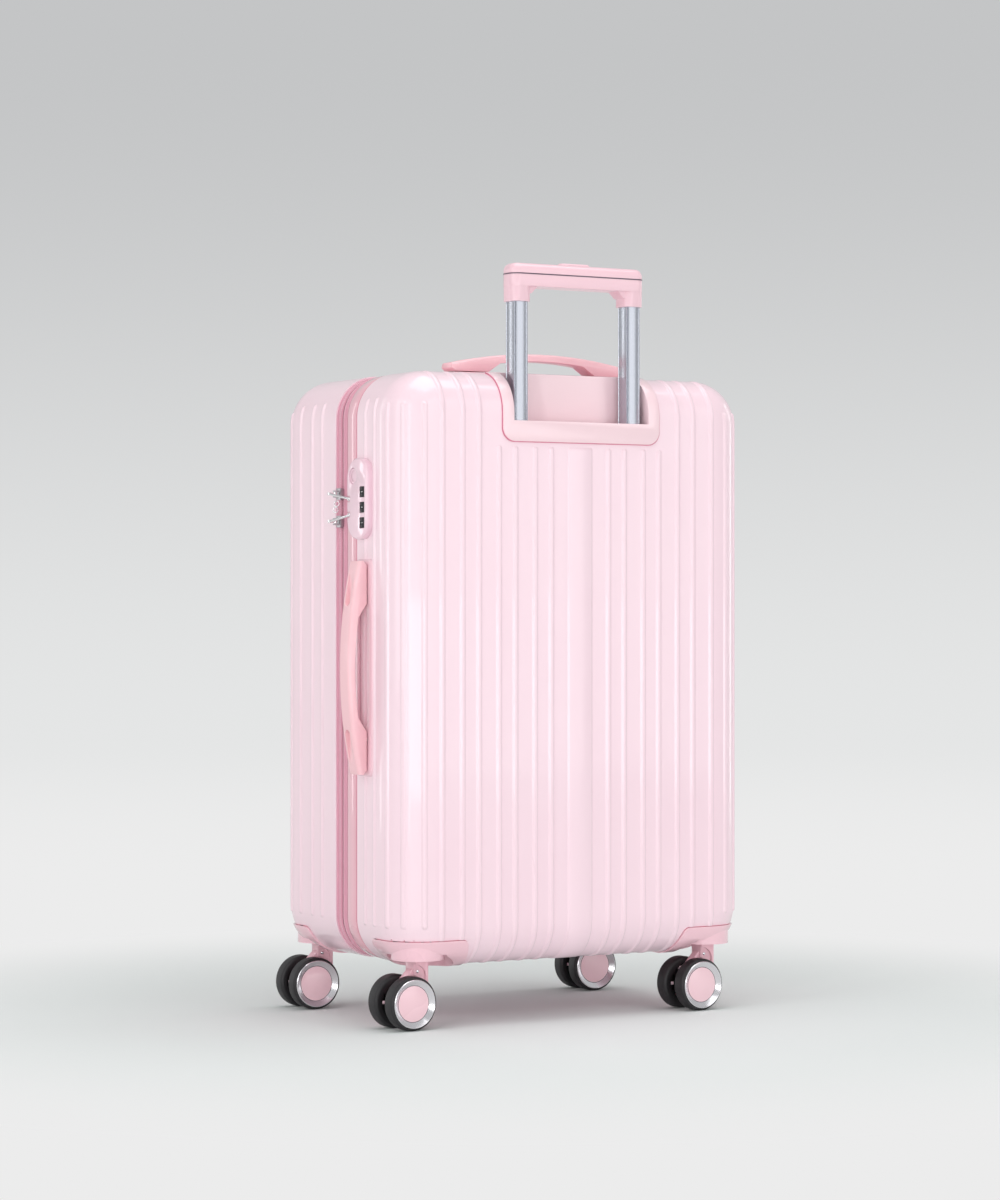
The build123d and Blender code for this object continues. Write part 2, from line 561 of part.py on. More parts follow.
# The two sliders are parked side by side at the lock, each with a cranked puller on its pin.
tape_face = -WIDTH / 2 + TAPE_INSET
sliders = []
for name, (slider_z, tip_z) in PULLERS.items():
    slider = block(-211, tape_face - 0.3, ZIP_Y - 5, ZIP_Y + 5, slider_z - 6, slider_z + 6)
    slider = fillet(slider.edges().filter_by(Axis.X), 2.0)
    slider += block(tape_face - 0.3, tape_face, ZIP_Y - 5, ZIP_Y - 1, slider_z - 4, slider_z + 4)
    for side in (-1, 1):
        near = slider_z + side * 2.2
        far = slider_z + side * 3.6
        slider += block(
            PULLER_PIVOT_X - 1.8, -211, ZIP_Y - 2, ZIP_Y + 2, min(near, far), max(near, far)
        )
    slider += post(PULLER_PIVOT_X, ZIP_Y, slider_z - 3, slider_z + 3, 0.9)
    sliders.append(slider)

    eye = post(PULLER_PIVOT_X, ZIP_Y, slider_z - 1.9, slider_z + 1.9, 2.3)
    elbow = Vector(PULLER_PIVOT_X - PULLER_ARM, ZIP_Y, slider_z)
    tip = Vector(lock_face + 2.6, ZIP_Y - PULLER_REACH, tip_z)
    arm = block(
        PULLER_PIVOT_X - PULLER_ARM, PULLER_PIVOT_X, ZIP_Y - 1.2, ZIP_Y + 1.2, slider_z - 1.2, slider_z + 1.2
    )
    along = tip - elbow
    rod = extrude(Plane(origin=elbow, z_dir=along) * Circle(1.25), along.length)
    elbow_knuckle = post(elbow.X, ZIP_Y, slider_z - 1.5, slider_z + 1.5, 1.7)
    tip_knuckle = post(tip.X, tip.Y, tip_z - 1.8, tip_z + 1.8, 2.0)
    puller = eye + arm + rod + elbow_knuckle + tip_knuckle
    puller -= post(PULLER_PIVOT_X, ZIP_Y, slider_z - 3, slider_z + 3, 0.9 + RUNNING_GAP)
    save(f"{name}_puller", puller)
save("zip_sliders", Compound(children=sliders))


def caster_housing(side_x, side_y):
    """A corner cap in the case, with a dish and a turret that holds the swivel."""
    region = corner_region(side_x, side_y)
    x = side_x * SWIVEL_X
    y = side_y * SWIVEL_Y
    cap = (skin_body - inner_space) & region
    shift, pocket_radius = DISH_POCKET
    dish = post(x, y, 0, DISH_CEILING, DISH_RADIUS)
    dish += post(x - side_x * shift, y, 0, DISH_CEILING, pocket_radius)
    cap -= dish
    walls = post(x, y, CASE_BOTTOM, DISH_CEILING + DISH_WALL, DISH_RADIUS + DISH_WALL)
    walls += post(x - side_x * shift, y, CASE_BOTTOM, DISH_CEILING + DISH_WALL, pocket_radius + DISH_WALL)
    walls = (walls & skin_body) - dish
    turret = post(x, y, TURRET_BOTTOM, TURRET_TOP, TURRET_RADIUS)
    tower = post(x, y, DISH_CEILING + 1, KINGPIN_TOP + 3, KINGPIN_RADIUS + 6)
    housing = cap + walls + turret + tower
    return housing - post(x, y, 0, KINGPIN_TOP + 0.5, KINGPIN_RADIUS + RUNNING_GAP)


for name, side_y in (("back", -1), ("front", 1)):
    pair = [caster_housing(side_x, side_y) for side_x in (-1, 1)]
    save(f"caster_housings_{name}", Compound(children=pair))


def fork():
    """A caster's fork about its swivel axis: kingpin, square shoulder, and a leg to the axle."""
    top = TURRET_BOTTOM - 0.4
    shoulder = block(*SHOULDER_X, -SHOULDER_HALF, SHOULDER_HALF, 40, top)
    shoulder = fillet(shoulder.edges().filter_by(Axis.Z), 2.0)
    axle_line = Plane(origin=(-TRAIL, 0, WHEEL_RADIUS), z_dir=(0, 1, 0))
    wheel_room = extrude(axle_line * Circle(WHEEL_RADIUS + 1.4), 30, both=True)
    leg_room = block(-FAR, FAR, -LEG_HALF, LEG_HALF, -FAR, FAR)
    shoulder -= wheel_room - leg_room
    arch_x, arch_z, arch_radius = ARCH
    arch = extrude(Plane(origin=(arch_x, 0, arch_z), z_dir=(0, 1, 0)) * Circle(arch_radius), 30, both=True)
    shoulder -= arch - block(-FAR, FAR, -CHEEK_HALF, CHEEK_HALF, -FAR, FAR)
    leg = Plane.XZ * make_face(
        Polyline(
            (SHOULDER_X[1], top), (SHOULDER_X[1], 46), (1, 36), (-TRAIL + 7, 21), (-TRAIL - 7, 21),
            (-TRAIL - 9, 33), (-TRAIL - 4, 47), (SHOULDER_X[0], 60), (SHOULDER_X[0], top),
            close=True,
        )
    )
    leg = Pos(0, LEG_HALF, 0) * extrude(leg, 2 * LEG_HALF)
    pin = post(0, 0, top, KINGPIN_TOP, KINGPIN_RADIUS)
    return shoulder + leg + pin - axle_hole()


def axle_hole():
    """The hole across the fork for the axle."""
    bore = Plane(origin=(-TRAIL, -30, WHEEL_RADIUS), z_dir=(0, 1, 0))
    return extrude(bore * Circle(AXLE_RADIUS), 60)


def revolved(points):
    """A wheel part: radius and distance from the fork, turned about the axle."""
    profile = Plane.XZ * make_face(Polyline(*points, close=True))
    turned = revolve(profile, Axis.Z)
    return Pos(-TRAIL, 0, WHEEL_RADIUS) * Rot(90, 0, 0) * turned


def tyre():
    """The soft tread, crowned by two bevels on each shoulder."""
    return revolved([
        (HUB_RADIUS, WHEEL_INNER_FACE), (WHEEL_RADIUS - 3, WHEEL_INNER_FACE),
        (WHEEL_RADIUS - 0.9, WHEEL_INNER_FACE + 1.4), (WHEEL_RADIUS, WHEEL_INNER_FACE + 4),
        (WHEEL_RADIUS, WHEEL_OUTER_FACE - 4), (WHEEL_RADIUS - 0.9, WHEEL_OUTER_FACE - 1.4),
        (WHEEL_RADIUS - 3, WHEEL_OUTER_FACE), (HUB_RADIUS, WHEEL_OUTER_FACE),
    ])


def hub():
    """The core: boss, web and rim, with spokes on the side next to the fork and a window between them."""
    boss = AXLE_RADIUS + RUNNING_GAP
    core = revolved([
        (boss, 6.2), (6.5, 6.2), (6.5, 17), (17.5, 17), (17.5, 8.5), (HUB_RADIUS, 8.5),
        (HUB_RADIUS, HUB_RIM), (17.5, HUB_RIM), (17.5, HUB_FACE), (boss, HUB_FACE),
    ])
    centre = Pos(-TRAIL, 0, WHEEL_RADIUS)
    for number in range(SPOKES):
        core += centre * Rot(0, 360 / SPOKES * number, 0) * block(6, 18, -18, -10, -1.0, 1.0)
        core -= centre * Rot(0, 360 / SPOKES * (number + 0.5), 0) * block(13.2, 16.8, -21, -16, -1.8, 1.8)
    return core


def wheel_cap():
    """The trim on the outer face: a bevelled ring that slopes to a sunk disc with snap tabs behind."""
    face = WHEEL_OUTER_FACE
    cap = revolved([
        (0, HUB_FACE + 0.2), (17.3, HUB_FACE + 0.2), (17.3, HUB_RIM + 0.2), (HUB_RADIUS - 0.2, HUB_RIM + 0.2),
        (HUB_RADIUS - 0.2, face), (24.3, face), (24.3, face + 0.6), (23.7, face + 1.5), (19.2, face - 0.7),
        (0, face - 0.7),
    ])
    centre = Pos(-TRAIL, 0, WHEEL_RADIUS)
    for number in range(SPOKES):
        tab = block(13.6, 16.4, -HUB_FACE - 1, -11.5, -1.4, 1.4)
        cap += centre * Rot(0, 360 / SPOKES * (number + 0.5), 0) * tab
    return cap


def placed(shape, side_x, side_y, turn):
    """Moves a caster part from its own axis to a corner of the case."""
    return Pos(side_x * SWIVEL_X, side_y * SWIVEL_Y, 0) * Rot(0, 0, turn) * shape


fork_shape = fork()
axle_start = Plane(origin=(-TRAIL, -AXLE_HALF, WHEEL_RADIUS), z_dir=(0, 1, 0))
axle_shape = extrude(axle_start * Circle(AXLE_RADIUS), 2 * AXLE_HALF)
outer_parts = {"tyre": tyre(), "hub": hub(), "cap": wheel_cap()}
for corner, (side_x, side_y, turn) in CASTERS.items():
    save(f"{corner}_fork", placed(fork_shape, side_x, side_y, turn))
    save(f"{corner}_axle", placed(axle_shape, side_x, side_y, turn))
    for part, shape in outer_parts.items():
        save(f"{corner}_outer_{part}", placed(shape, side_x, side_y, turn))
        twin = mirror(shape, Plane.XZ)
        save(f"{corner}_inner_{part}", placed(twin, side_x, side_y, turn))
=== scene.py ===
import json
import math

import bmesh
import bpy
from mathutils import Matrix, Vector


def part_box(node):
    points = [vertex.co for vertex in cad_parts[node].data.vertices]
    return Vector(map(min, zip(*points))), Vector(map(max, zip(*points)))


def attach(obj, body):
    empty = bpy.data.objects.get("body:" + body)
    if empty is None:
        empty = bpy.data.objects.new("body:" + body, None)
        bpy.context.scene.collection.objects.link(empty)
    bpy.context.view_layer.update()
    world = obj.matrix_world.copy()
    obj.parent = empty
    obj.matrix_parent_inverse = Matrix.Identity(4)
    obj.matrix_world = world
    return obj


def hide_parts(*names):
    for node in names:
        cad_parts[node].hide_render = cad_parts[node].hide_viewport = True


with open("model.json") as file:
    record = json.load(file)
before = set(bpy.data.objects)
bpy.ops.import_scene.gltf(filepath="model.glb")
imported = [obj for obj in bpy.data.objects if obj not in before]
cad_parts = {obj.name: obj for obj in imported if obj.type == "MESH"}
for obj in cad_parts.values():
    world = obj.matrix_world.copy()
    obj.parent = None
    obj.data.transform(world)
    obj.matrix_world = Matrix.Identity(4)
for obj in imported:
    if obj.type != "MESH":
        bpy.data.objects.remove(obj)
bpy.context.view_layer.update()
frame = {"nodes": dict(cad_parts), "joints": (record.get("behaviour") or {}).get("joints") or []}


# ------------------------ the two ribbed shells
# Each half of the case is one vacuum-formed sheet of glossy pearl pink plastic about two
# millimetres thick. Narrow rounded ribs run up both faces in pairs and fade out over the
# top and bottom edges; the ribs on the sides and corners end in round tips.
front_low, front_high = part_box("front_shell")
RIB_RISE = 0.0016
RIB_FOOT = 0.0036
RIB_CREST = 0.0013
RIB_CUTS = [0.0013, 0.0019, 0.0025, 0.0031, 0.0036, 0.0043]
OUTLINE_ROUND = 0.046
EDGE_ROUND = 0.042
BEND_MARGIN = 0.002
SHEET = 0.0022
NEAR = 1e-5
RELIEF = 0.0002
SEAM_FRONT = front_low.y
SEAM_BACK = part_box("back_shell")[1].y
CASE = Vector(((front_low.x + front_high.x) / 2, 0, (front_low.z + front_high.z) / 2))
HALF_WIDTH = (front_high.x - front_low.x) / 2 - RIB_RISE
HALF_DEPTH = front_high.y - RIB_RISE
HALF_HEIGHT = (front_high.z - front_low.z) / 2
FRONT_SIDE_RIBS = [0.033, 0.055, 0.082]
BACK_SIDE_RIBS = [-0.082, -0.063]
FACE_RIBS = [0.034, 0.053, 0.076, 0.095, 0.118, 0.137, 0.160]
PANEL_HALF = 0.015
CORNER_RIBS = [math.radians(18), math.radians(47), math.radians(74)]
RIB_BOTTOM = 0.104
SIDE_RIB_TOP = 0.628
CORNER_RIB_TOP = 0.622
CUP_CLEAR = 0.102
CUP_RIB_TOP = 0.580
cup_low, cup_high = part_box("handle_cup")
cup_x = (cup_low.x + cup_high.x) / 2
CUP_WINDOW = 0.086
CUP_FLANGE = 0.006
lock_low, lock_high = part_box("lock_body")
LOCK_INSET = Vector((0, 0.0022, 0.008))
LOCK_REACH = 0.1
WELL_X = 0.130
WELL_Y = 0.070
WELL_TOP = 0.088
WELL_FLARE = math.atan2(0.026, WELL_TOP)
WELL_ROUND = 0.007
WELL_SLIT = 0.0007
LIP_SUNK = 0.0005
LIP_REACH = 0.0030
LIP_THICK = 0.0012


def tint(red, green, blue):
    """A colour as seen on a screen, 0 to 255, in Blender's linear numbers."""
    steps = [value / 255 for value in (red, green, blue)]
    return [s / 12.92 if s < 0.04045 else ((s + 0.055) / 1.055) ** 2.4 for s in steps] + [1.0]


def two_toned(name, kind, colour, other):
    """A new material that moves between two tones by a pattern laid on the piece itself."""
    material = bpy.data.materials.new(name)
    material.use_nodes = True
    nodes, links = material.node_tree.nodes, material.node_tree.links
    place = nodes.new("ShaderNodeTexCoord")
    pattern = nodes.new(kind)
    links.new(place.outputs["Object"], pattern.inputs["Vector"])
    blend = nodes.new("ShaderNodeMix")
    blend.data_type = "RGBA"
    blend.inputs["A"].default_value = colour
    blend.inputs["B"].default_value = other
    links.new(pattern.outputs["Fac"], blend.inputs["Factor"])
    links.new(blend.outputs["Result"], nodes["Principled BSDF"].inputs["Base Color"])
    return material, place, pattern


def give_relief(material, pattern, strength):
    """Fine relief on a material's surface, as high as the pattern says."""
    nodes, links = material.node_tree.nodes, material.node_tree.links
    bump = nodes.new("ShaderNodeBump")
    bump.inputs["Strength"].default_value = strength
    bump.inputs["Distance"].default_value = RELIEF
    links.new(pattern.outputs["Fac"], bump.inputs["Height"])
    links.new(bump.outputs["Normal"], nodes["Principled BSDF"].inputs["Normal"])


def pink_plastic(name, colour, pale, roughness, coat, peel):
    """Glossy moulded plastic: a soft drift between two pinks, and a faint skin under the gloss."""
    material, place, drift = two_toned(name, "ShaderNodeTexNoise", colour, pale)
    drift.inputs["Scale"].default_value = 7
    drift.inputs["Detail"].default_value = 3
    nodes, links = material.node_tree.nodes, material.node_tree.links
    surface = nodes["Principled BSDF"]
    skin = nodes.new("ShaderNodeTexNoise")
    skin.inputs["Scale"].default_value = 1500
    skin.inputs["Detail"].default_value = 2
    links.new(place.outputs["Object"], skin.inputs["Vector"])
    give_relief(material, skin, peel)
    wear = nodes.new("ShaderNodeMapRange")
    wear.inputs["From Min"].default_value = 0.3
    wear.inputs["From Max"].default_value = 0.7
    wear.inputs["To Min"].default_value = roughness
    wear.inputs["To Max"].default_value = roughness + 0.06
    links.new(drift.outputs["Fac"], wear.inputs["Value"])
    links.new(wear.outputs["Result"], surface.inputs["Roughness"])
    surface.inputs["Coat Weight"].default_value = coat
    surface.inputs["Coat Roughness"].default_value = 0.04
    return material


def finish_piece(name, shape, material, body, replaced=(), sharp=40):
    """Makes a bmesh into a smooth-shaded object that rides on a body of the frame."""
    mesh = bpy.data.meshes.new(name)
    shape.to_mesh(mesh)
    shape.free()
    for face in mesh.polygons:
        face.use_smooth = True
    mesh.set_sharp_from_angle(angle=math.radians(sharp))
    mesh.materials.append(material)
    piece = bpy.data.objects.new(name, mesh)
    bpy.context.scene.collection.objects.link(piece)
    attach(piece, body)
    if replaced:
        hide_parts(*replaced)
    return piece


def around(faces):
    """Faces with their edges and corners, as the cutting operators want them."""
    edges = {edge for face in faces for edge in face.edges}
    corners = {corner for face in faces for corner in face.verts}
    return list(faces) + list(edges) + list(corners)


def cut(shape, faces, place, normal):
    """Cuts some faces of a shape along a plane."""
    bmesh.ops.bisect_plane(shape, geom=around(faces), plane_co=place, plane_no=normal)


def round_edges(shape, edges, offset, segments, clamped=False):
    """Rounds some edges of a shape."""
    bmesh.ops.bevel(
        shape, geom=edges, offset=offset, segments=segments, profile=0.5,
        affect="EDGES", material=-1, clamp_overlap=clamped,
    )


def without_slivers(skin, closer=0.00003):
    """Merges the corners that crossing cuts leave on top of one another."""
    bmesh.ops.remove_doubles(skin, verts=skin.verts, dist=closer)
    bmesh.ops.dissolve_degenerate(skin, edges=skin.edges, dist=closer)


def rounded_half(grow, seam, facing):
    """Half of the plain rounded case, open at the seam, grown outwards all over."""
    half = bmesh.new()
    bmesh.ops.create_cube(half, size=2)
    size = Vector((HALF_WIDTH + grow, HALF_DEPTH + grow, HALF_HEIGHT + grow))
    bmesh.ops.scale(half, vec=size, verts=half.verts)
    bmesh.ops.translate(half, vec=CASE, verts=half.verts)
    bmesh.ops.bisect_plane(
        half, geom=around(half.faces), plane_co=(0, seam, 0), plane_no=(0, facing, 0),
        clear_inner=True,
    )
    along = [e for e in half.edges if abs(e.verts[0].co.y - e.verts[1].co.y) > 0.01]
    round_edges(half, along, OUTLINE_ROUND + grow, 16)
    end = facing * size.y
    rim = [e for e in half.edges if all(abs(v.co.y - end) < NEAR for v in e.verts)]
    round_edges(half, rim, EDGE_ROUND + grow, 14)
    bmesh.ops.recalc_face_normals(half, faces=half.faces)
    return half


def beyond(skin, distance):
    """The faces of a skin further than this from the case's middle, to the left and right."""
    return [f for f in skin.faces if abs(f.calc_center_median().x - CASE.x) > distance]


def rib_height(distance):
    """The rib's rounded section: full height at the crest, nothing at the foot."""
    t = min(max((RIB_FOOT - distance) / (RIB_FOOT - RIB_CREST), 0), 1)
    return RIB_RISE * t * t * (3 - 2 * t)


def ribbed_half(seam, facing, side_ribs):
    """One shell's outer skin with every rib raised from it."""
    skin = rounded_half(0, seam, facing)
    for bend in (OUTLINE_ROUND, EDGE_ROUND):
        for sign in (-1, 1):
            height = CASE.z + sign * (HALF_HEIGHT - bend - BEND_MARGIN)
            cut(skin, skin.faces, (0, 0, height), (0, 0, 1))
    cut(skin, skin.faces, (0, facing * (HALF_DEPTH - EDGE_ROUND - BEND_MARGIN), 0), (0, 1, 0))

    # cuts along both flanks of the ribs on the face
    lines = [rib + step for rib in FACE_RIBS for step in RIB_CUTS]
    lines += [rib - step for rib in FACE_RIBS for step in RIB_CUTS]
    lines += [PANEL_HALF - RIB_FOOT + step for step in RIB_CUTS]
    for line in lines:
        for sign in (-1, 1):
            cut(skin, skin.faces, (CASE.x + sign * line, 0, 0), (1, 0, 0))

    # cuts round the ribs on the sides, and on the two rounded corners
    side_x = HALF_WIDTH - OUTLINE_ROUND + 0.003
    for rib in side_ribs:
        for step in RIB_CUTS:
            for sign in (-1, 1):
                cut(skin, beyond(skin, side_x), (0, rib + sign * step, 0), (0, 1, 0))
    centre_x = HALF_WIDTH - EDGE_ROUND
    centre_y = HALF_DEPTH - EDGE_ROUND
    for sign_x in (-1, 1):
        for rib in CORNER_RIBS:
            for step in RIB_CUTS:
                for sign in (-1, 1):
                    angle = rib + sign * step / EDGE_ROUND
                    bend = [
                        f for f in skin.faces
                        if sign_x * (f.calc_center_median().x - CASE.x) > centre_x
                        and facing * f.calc_center_median().y > centre_y
                    ]
                    cut(
                        skin, bend, (CASE.x + sign_x * centre_x, facing * centre_y, 0),
                        (facing * math.cos(angle), -sign_x * math.sin(angle), 0),
                    )
    tip_cuts = [RIB_BOTTOM - step for step in [0] + RIB_CUTS]
    tip_cuts += [top + step for top in (SIDE_RIB_TOP, CORNER_RIB_TOP) for step in [0] + RIB_CUTS]
    for height in tip_cuts:
        cut(skin, beyond(skin, side_x), (0, 0, height), (0, 0, 1))

    # cuts round the ribs' tips below the trolley cup
    for step in [0] + RIB_CUTS if facing < 0 else []:
        under = [
            f for f in skin.faces
            if abs(f.calc_center_median().x - cup_x) < CUP_CLEAR
            and f.calc_center_median().y < -centre_y
        ]
        cut(skin, under, (0, 0, CUP_RIB_TOP + step), (0, 0, 1))

    # every corner of the mesh that lies on a rib moves out along its normal
    without_slivers(skin)
    skin.normal_update()
    lifts = []
    for corner in skin.verts:
        x, y = abs(corner.co.x - CASE.x), abs(corner.co.y)
        below = max(0, RIB_BOTTOM - corner.co.z)
        if x > centre_x and facing * corner.co.y > centre_y:
            past_tip = max(below, corner.co.z - CORNER_RIB_TOP)
            angle = math.atan2(x - centre_x, y - centre_y)
            off = min(EDGE_ROUND * abs(angle - rib) for rib in CORNER_RIBS)
            lift = rib_height(math.hypot(off, past_tip))
        elif facing * corner.co.y > centre_y:
            off = min([abs(x - rib) for rib in FACE_RIBS] + [max(0, x - PANEL_HALF + RIB_FOOT)])
            if facing < 0 and abs(corner.co.x - cup_x) < CUP_CLEAR:
                off = math.hypot(off, max(0, corner.co.z - CUP_RIB_TOP))
            lift = rib_height(off) * min(1, abs(corner.normal.y) / 0.4)
        elif x > side_x:
            past_tip = max(below, corner.co.z - SIDE_RIB_TOP)
            off = min(abs(corner.co.y - rib) for rib in side_ribs)
            lift = rib_height(math.hypot(off, past_tip))
        else:
            lift = 0
        lifts.append((corner, corner.normal.copy() * lift))
    for corner, lift in lifts:
        corner.co += lift
    return skin


def open_window(skin, low, high):
    """Cuts a rectangular window through a skin, given its lowest and highest corner."""
    for axis in range(3):
        for value in (low[axis], high[axis]):
            place, normal = Vector((0, 0, 0)), Vector((0, 0, 0))
            place[axis], normal[axis] = value, 1
            cut(skin, skin.faces, place, normal)
    inside = [
        f for f in skin.faces
        if all(low[i] < f.calc_center_median()[i] < high[i] for i in range(3))
    ]
    bmesh.ops.delete(skin, geom=inside, context="FACES")


def corner_planes(sign, facing):
    """The flats round the corner that a caster housing fills, as places and outward normals."""
    sloped = Vector((sign * math.cos(WELL_FLARE), 0, -math.sin(WELL_FLARE)))
    straight = Vector((0, facing, 0))
    down = Vector((0, 0, -1))
    planes = [(Vector((0, 0, WELL_TOP)), down)]
    sloped_edge = Vector((CASE.x + sign * WELL_X, 0, WELL_TOP))
    straight_edge = Vector((0, facing * WELL_Y, WELL_TOP))
    for side, edge in ((sloped, sloped_edge), (straight, straight_edge)):
        planes.append((edge, side))
        inward = WELL_ROUND * math.tan(math.pi / 4 - math.asin(abs(side.z)) / 2)
        level = (side - down * side.dot(down)).normalized()
        middle = edge + down * WELL_ROUND + level * inward
        for share in (0.25, 0.5, 0.75):
            normal = (down * (1 - share) + side * share).normalized()
            planes.append((middle - normal * WELL_ROUND, normal))
    return planes


def within_corner(skin, planes, margin):
    """The faces of a skin inside the planes, once cut along them with the given margin."""
    for place, normal in planes:
        cut(skin, skin.faces, place - normal * margin, normal)
    return [
        f for f in skin.faces
        if all((f.calc_center_median() - place).dot(normal) > -margin for place, normal in planes)
    ]


def housing_lip(seam, facing):
    """The thin lip of each caster housing that lies under the shell's edge and closes the slit; its
    dark colour is painted shade in the slit.
    """
    lip = rounded_half(-LIP_SUNK, seam, facing)
    kept = set()
    for sign in (-1, 1):
        planes = corner_planes(sign, facing)
        within_corner(lip, planes, LIP_REACH)
        within_corner(lip, planes, -LIP_REACH)
        for face in lip.faces:
            depths = [(face.calc_center_median() - place).dot(normal) for place, normal in planes]
            if -LIP_REACH < min(depths) < LIP_REACH:
                kept.add(face)
    bmesh.ops.delete(lip, geom=[f for f in lip.faces if f not in kept], context="FACES")
    without_slivers(lip)
    bmesh.ops.solidify(lip, geom=lip.faces, thickness=LIP_THICK)
    return lip


def shell(name, seam, facing, side_ribs, body, node):
    """A finished shell, with openings for the caster housings and, at the back, the cup."""
    skin = ribbed_half(seam, facing, side_ribs)
    for sign in (-1, 1):
        inside = within_corner(skin, corner_planes(sign, facing), WELL_SLIT)
        bmesh.ops.delete(skin, geom=inside, context="FACES")
    if facing < 0:
        cup_start = Vector((cup_x - CUP_WINDOW, -1, cup_low.z + CUP_FLANGE))
        open_window(skin, cup_start, Vector((cup_x + CUP_WINDOW, cup_high.y + 0.001, 1)))
        lock_start = lock_low - Vector((LOCK_REACH, 0, 0))
        lock_end = Vector((-LOCK_REACH, lock_high.y, lock_high.z))
        open_window(skin, lock_start + LOCK_INSET, lock_end - LOCK_INSET)
    without_slivers(skin)
    bmesh.ops.recalc_face_normals(skin, faces=skin.faces)
    bmesh.ops.solidify(skin, geom=skin.faces, thickness=SHEET)
    return finish_piece(name, skin, shell_pink, body, [node])


shell_pink = pink_plastic("shell_pink", tint(249, 219, 230), tint(252, 226, 235), 0.28, 0.6, 0.05)
shell("shell_front", SEAM_FRONT, 1, FRONT_SIDE_RIBS, "case_front", "front_shell")
shell("shell_back", SEAM_BACK, -1, BACK_SIDE_RIBS, "case_back", "back_shell")


# ------------------------ the band and its welt
# Between the back shell and the zip runs a smooth moulded rim, pressed on all round the
# opening. A soft round welt lies in the groove where it meets the shell; its darker pink is
# partly the piping's own colour and partly painted shade of the groove.
BAND_LOW, BAND_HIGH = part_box("middle_band")
BAND_SHEET = 0.0014
WELT_WIDTH = 0.004
WELT_GAP = 0.0001
WELT_HALF = 0.0018
WELT_DEPTH = 0.0022
WELT_RISE = 0.0019
WELT_SHEET = 0.0006


def round_the_case(rows, thickness):
    """A strip round the case's outline. Each row is its place from front to back and its depth."""
    start, end = rows[0][0], rows[-1][0]
    strip = bmesh.new()
    bmesh.ops.create_cube(strip, size=2)
    size = Vector((HALF_WIDTH, (end - start) / 2, HALF_HEIGHT))
    bmesh.ops.scale(strip, vec=size, verts=strip.verts)
    bmesh.ops.translate(strip, vec=CASE + Vector((0, (start + end) / 2, 0)), verts=strip.verts)
    ends = [f for f in strip.faces if abs(f.normal.y) > 0.9]
    bmesh.ops.delete(strip, geom=ends, context="FACES")
    along = [e for e in strip.edges if abs(e.verts[0].co.y - e.verts[1].co.y) > NEAR]
    round_edges(strip, along, OUTLINE_ROUND, 20)
    bmesh.ops.recalc_face_normals(strip, faces=strip.faces)
    outward = sum(f.normal.dot(f.calc_center_median() - CASE) for f in strip.faces)
    if outward < 0:
        bmesh.ops.reverse_faces(strip, faces=strip.faces)
    for place, _ in rows[1:-1]:
        cut(strip, strip.faces, (0, place, 0), (0, 1, 0))
    strip.normal_update()
    moves = []
    for corner in strip.verts:
        depth = min(rows, key=lambda row: abs(row[0] - corner.co.y))[1]
        moves.append((corner, corner.normal.copy() * -depth))
    for corner, move in moves:
        corner.co += move
    bmesh.ops.solidify(strip, geom=strip.faces, thickness=thickness)
    return strip


band_pink = pink_plastic("band_pink", tint(236, 176, 190), tint(240, 188, 200), 0.25, 1.0, 0.04)
# the welt's darker pink is partly its own colour and partly painted shade of the groove
welt_shaded_pink = pink_plastic("welt_shaded_pink", tint(214, 132, 154), tint(222, 146, 166), 0.5, 0.1, 0.2)
band_edge = BAND_LOW.y + WELT_WIDTH
band_rows = [
    (band_edge, 0.0020), (band_edge + 0.0006, 0.0011), (band_edge + 0.0016, 0.0007),
    (band_edge + 0.010, 0.0006), (BAND_HIGH.y - 0.0026, 0.0007), (BAND_HIGH.y - 0.0012, 0.0011),
    (BAND_HIGH.y - 0.0004, 0.0018), (BAND_HIGH.y, 0.0026),
]
band_strip = round_the_case(band_rows, BAND_SHEET)
finish_piece("middle_rim", band_strip, band_pink, "case_back", ["middle_band"])
welt_rows = [(BAND_LOW.y + WELT_GAP, WELT_DEPTH), (band_edge - WELT_GAP, WELT_DEPTH)]
welt_rows += [
    (
        BAND_LOW.y + WELT_WIDTH / 2 - WELT_HALF * math.cos(turn),
        WELT_DEPTH - WELT_RISE * math.sin(turn),
    )
    for turn in (0.5, 1.0, 1.57, 2.14, 2.64)
]
welt_strip = round_the_case(sorted(welt_rows), WELT_SHEET)
finish_piece("welt", welt_strip, welt_shaded_pink, "case_back")


# ------------------------ the zip closure
# Two woven tapes are sewn to the shells' rims with a row of pale stitches each, and meet
# in a dark row of coil teeth. The front tape goes with the front half.
ZIP_LINE = (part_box("zip_tape_back")[1].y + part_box("zip_tape_front")[0].y) / 2
SLIT_HALF = 0.0011
TAPE_SHEET = 0.0006
STITCH_IN = 0.0030
STITCH_PITCH = 0.0025
STITCH_SIZE = (0.00085, 0.0005, 0.0003)
COIL_PITCH = 0.0016
COIL_SIZE = (0.0006, 0.0012, 0.0006)


def woven_tape(name, colour, dark):
    """Woven zip tape: fine ribs along its length, with a soft cloth sheen."""
    material, _, ribs = two_toned(name, "ShaderNodeTexWave", dark, colour)
    ribs.bands_direction = "Y"
    ribs.inputs["Scale"].default_value = 380
    ribs.inputs["Distortion"].default_value = 0.6
    ribs.inputs["Detail Scale"].default_value = 60
    give_relief(material, ribs, 0.4)
    surface = material.node_tree.nodes["Principled BSDF"]
    surface.inputs["Roughness"].default_value = 0.75
    surface.inputs["Sheen Weight"].default_value = 0.3
    return material


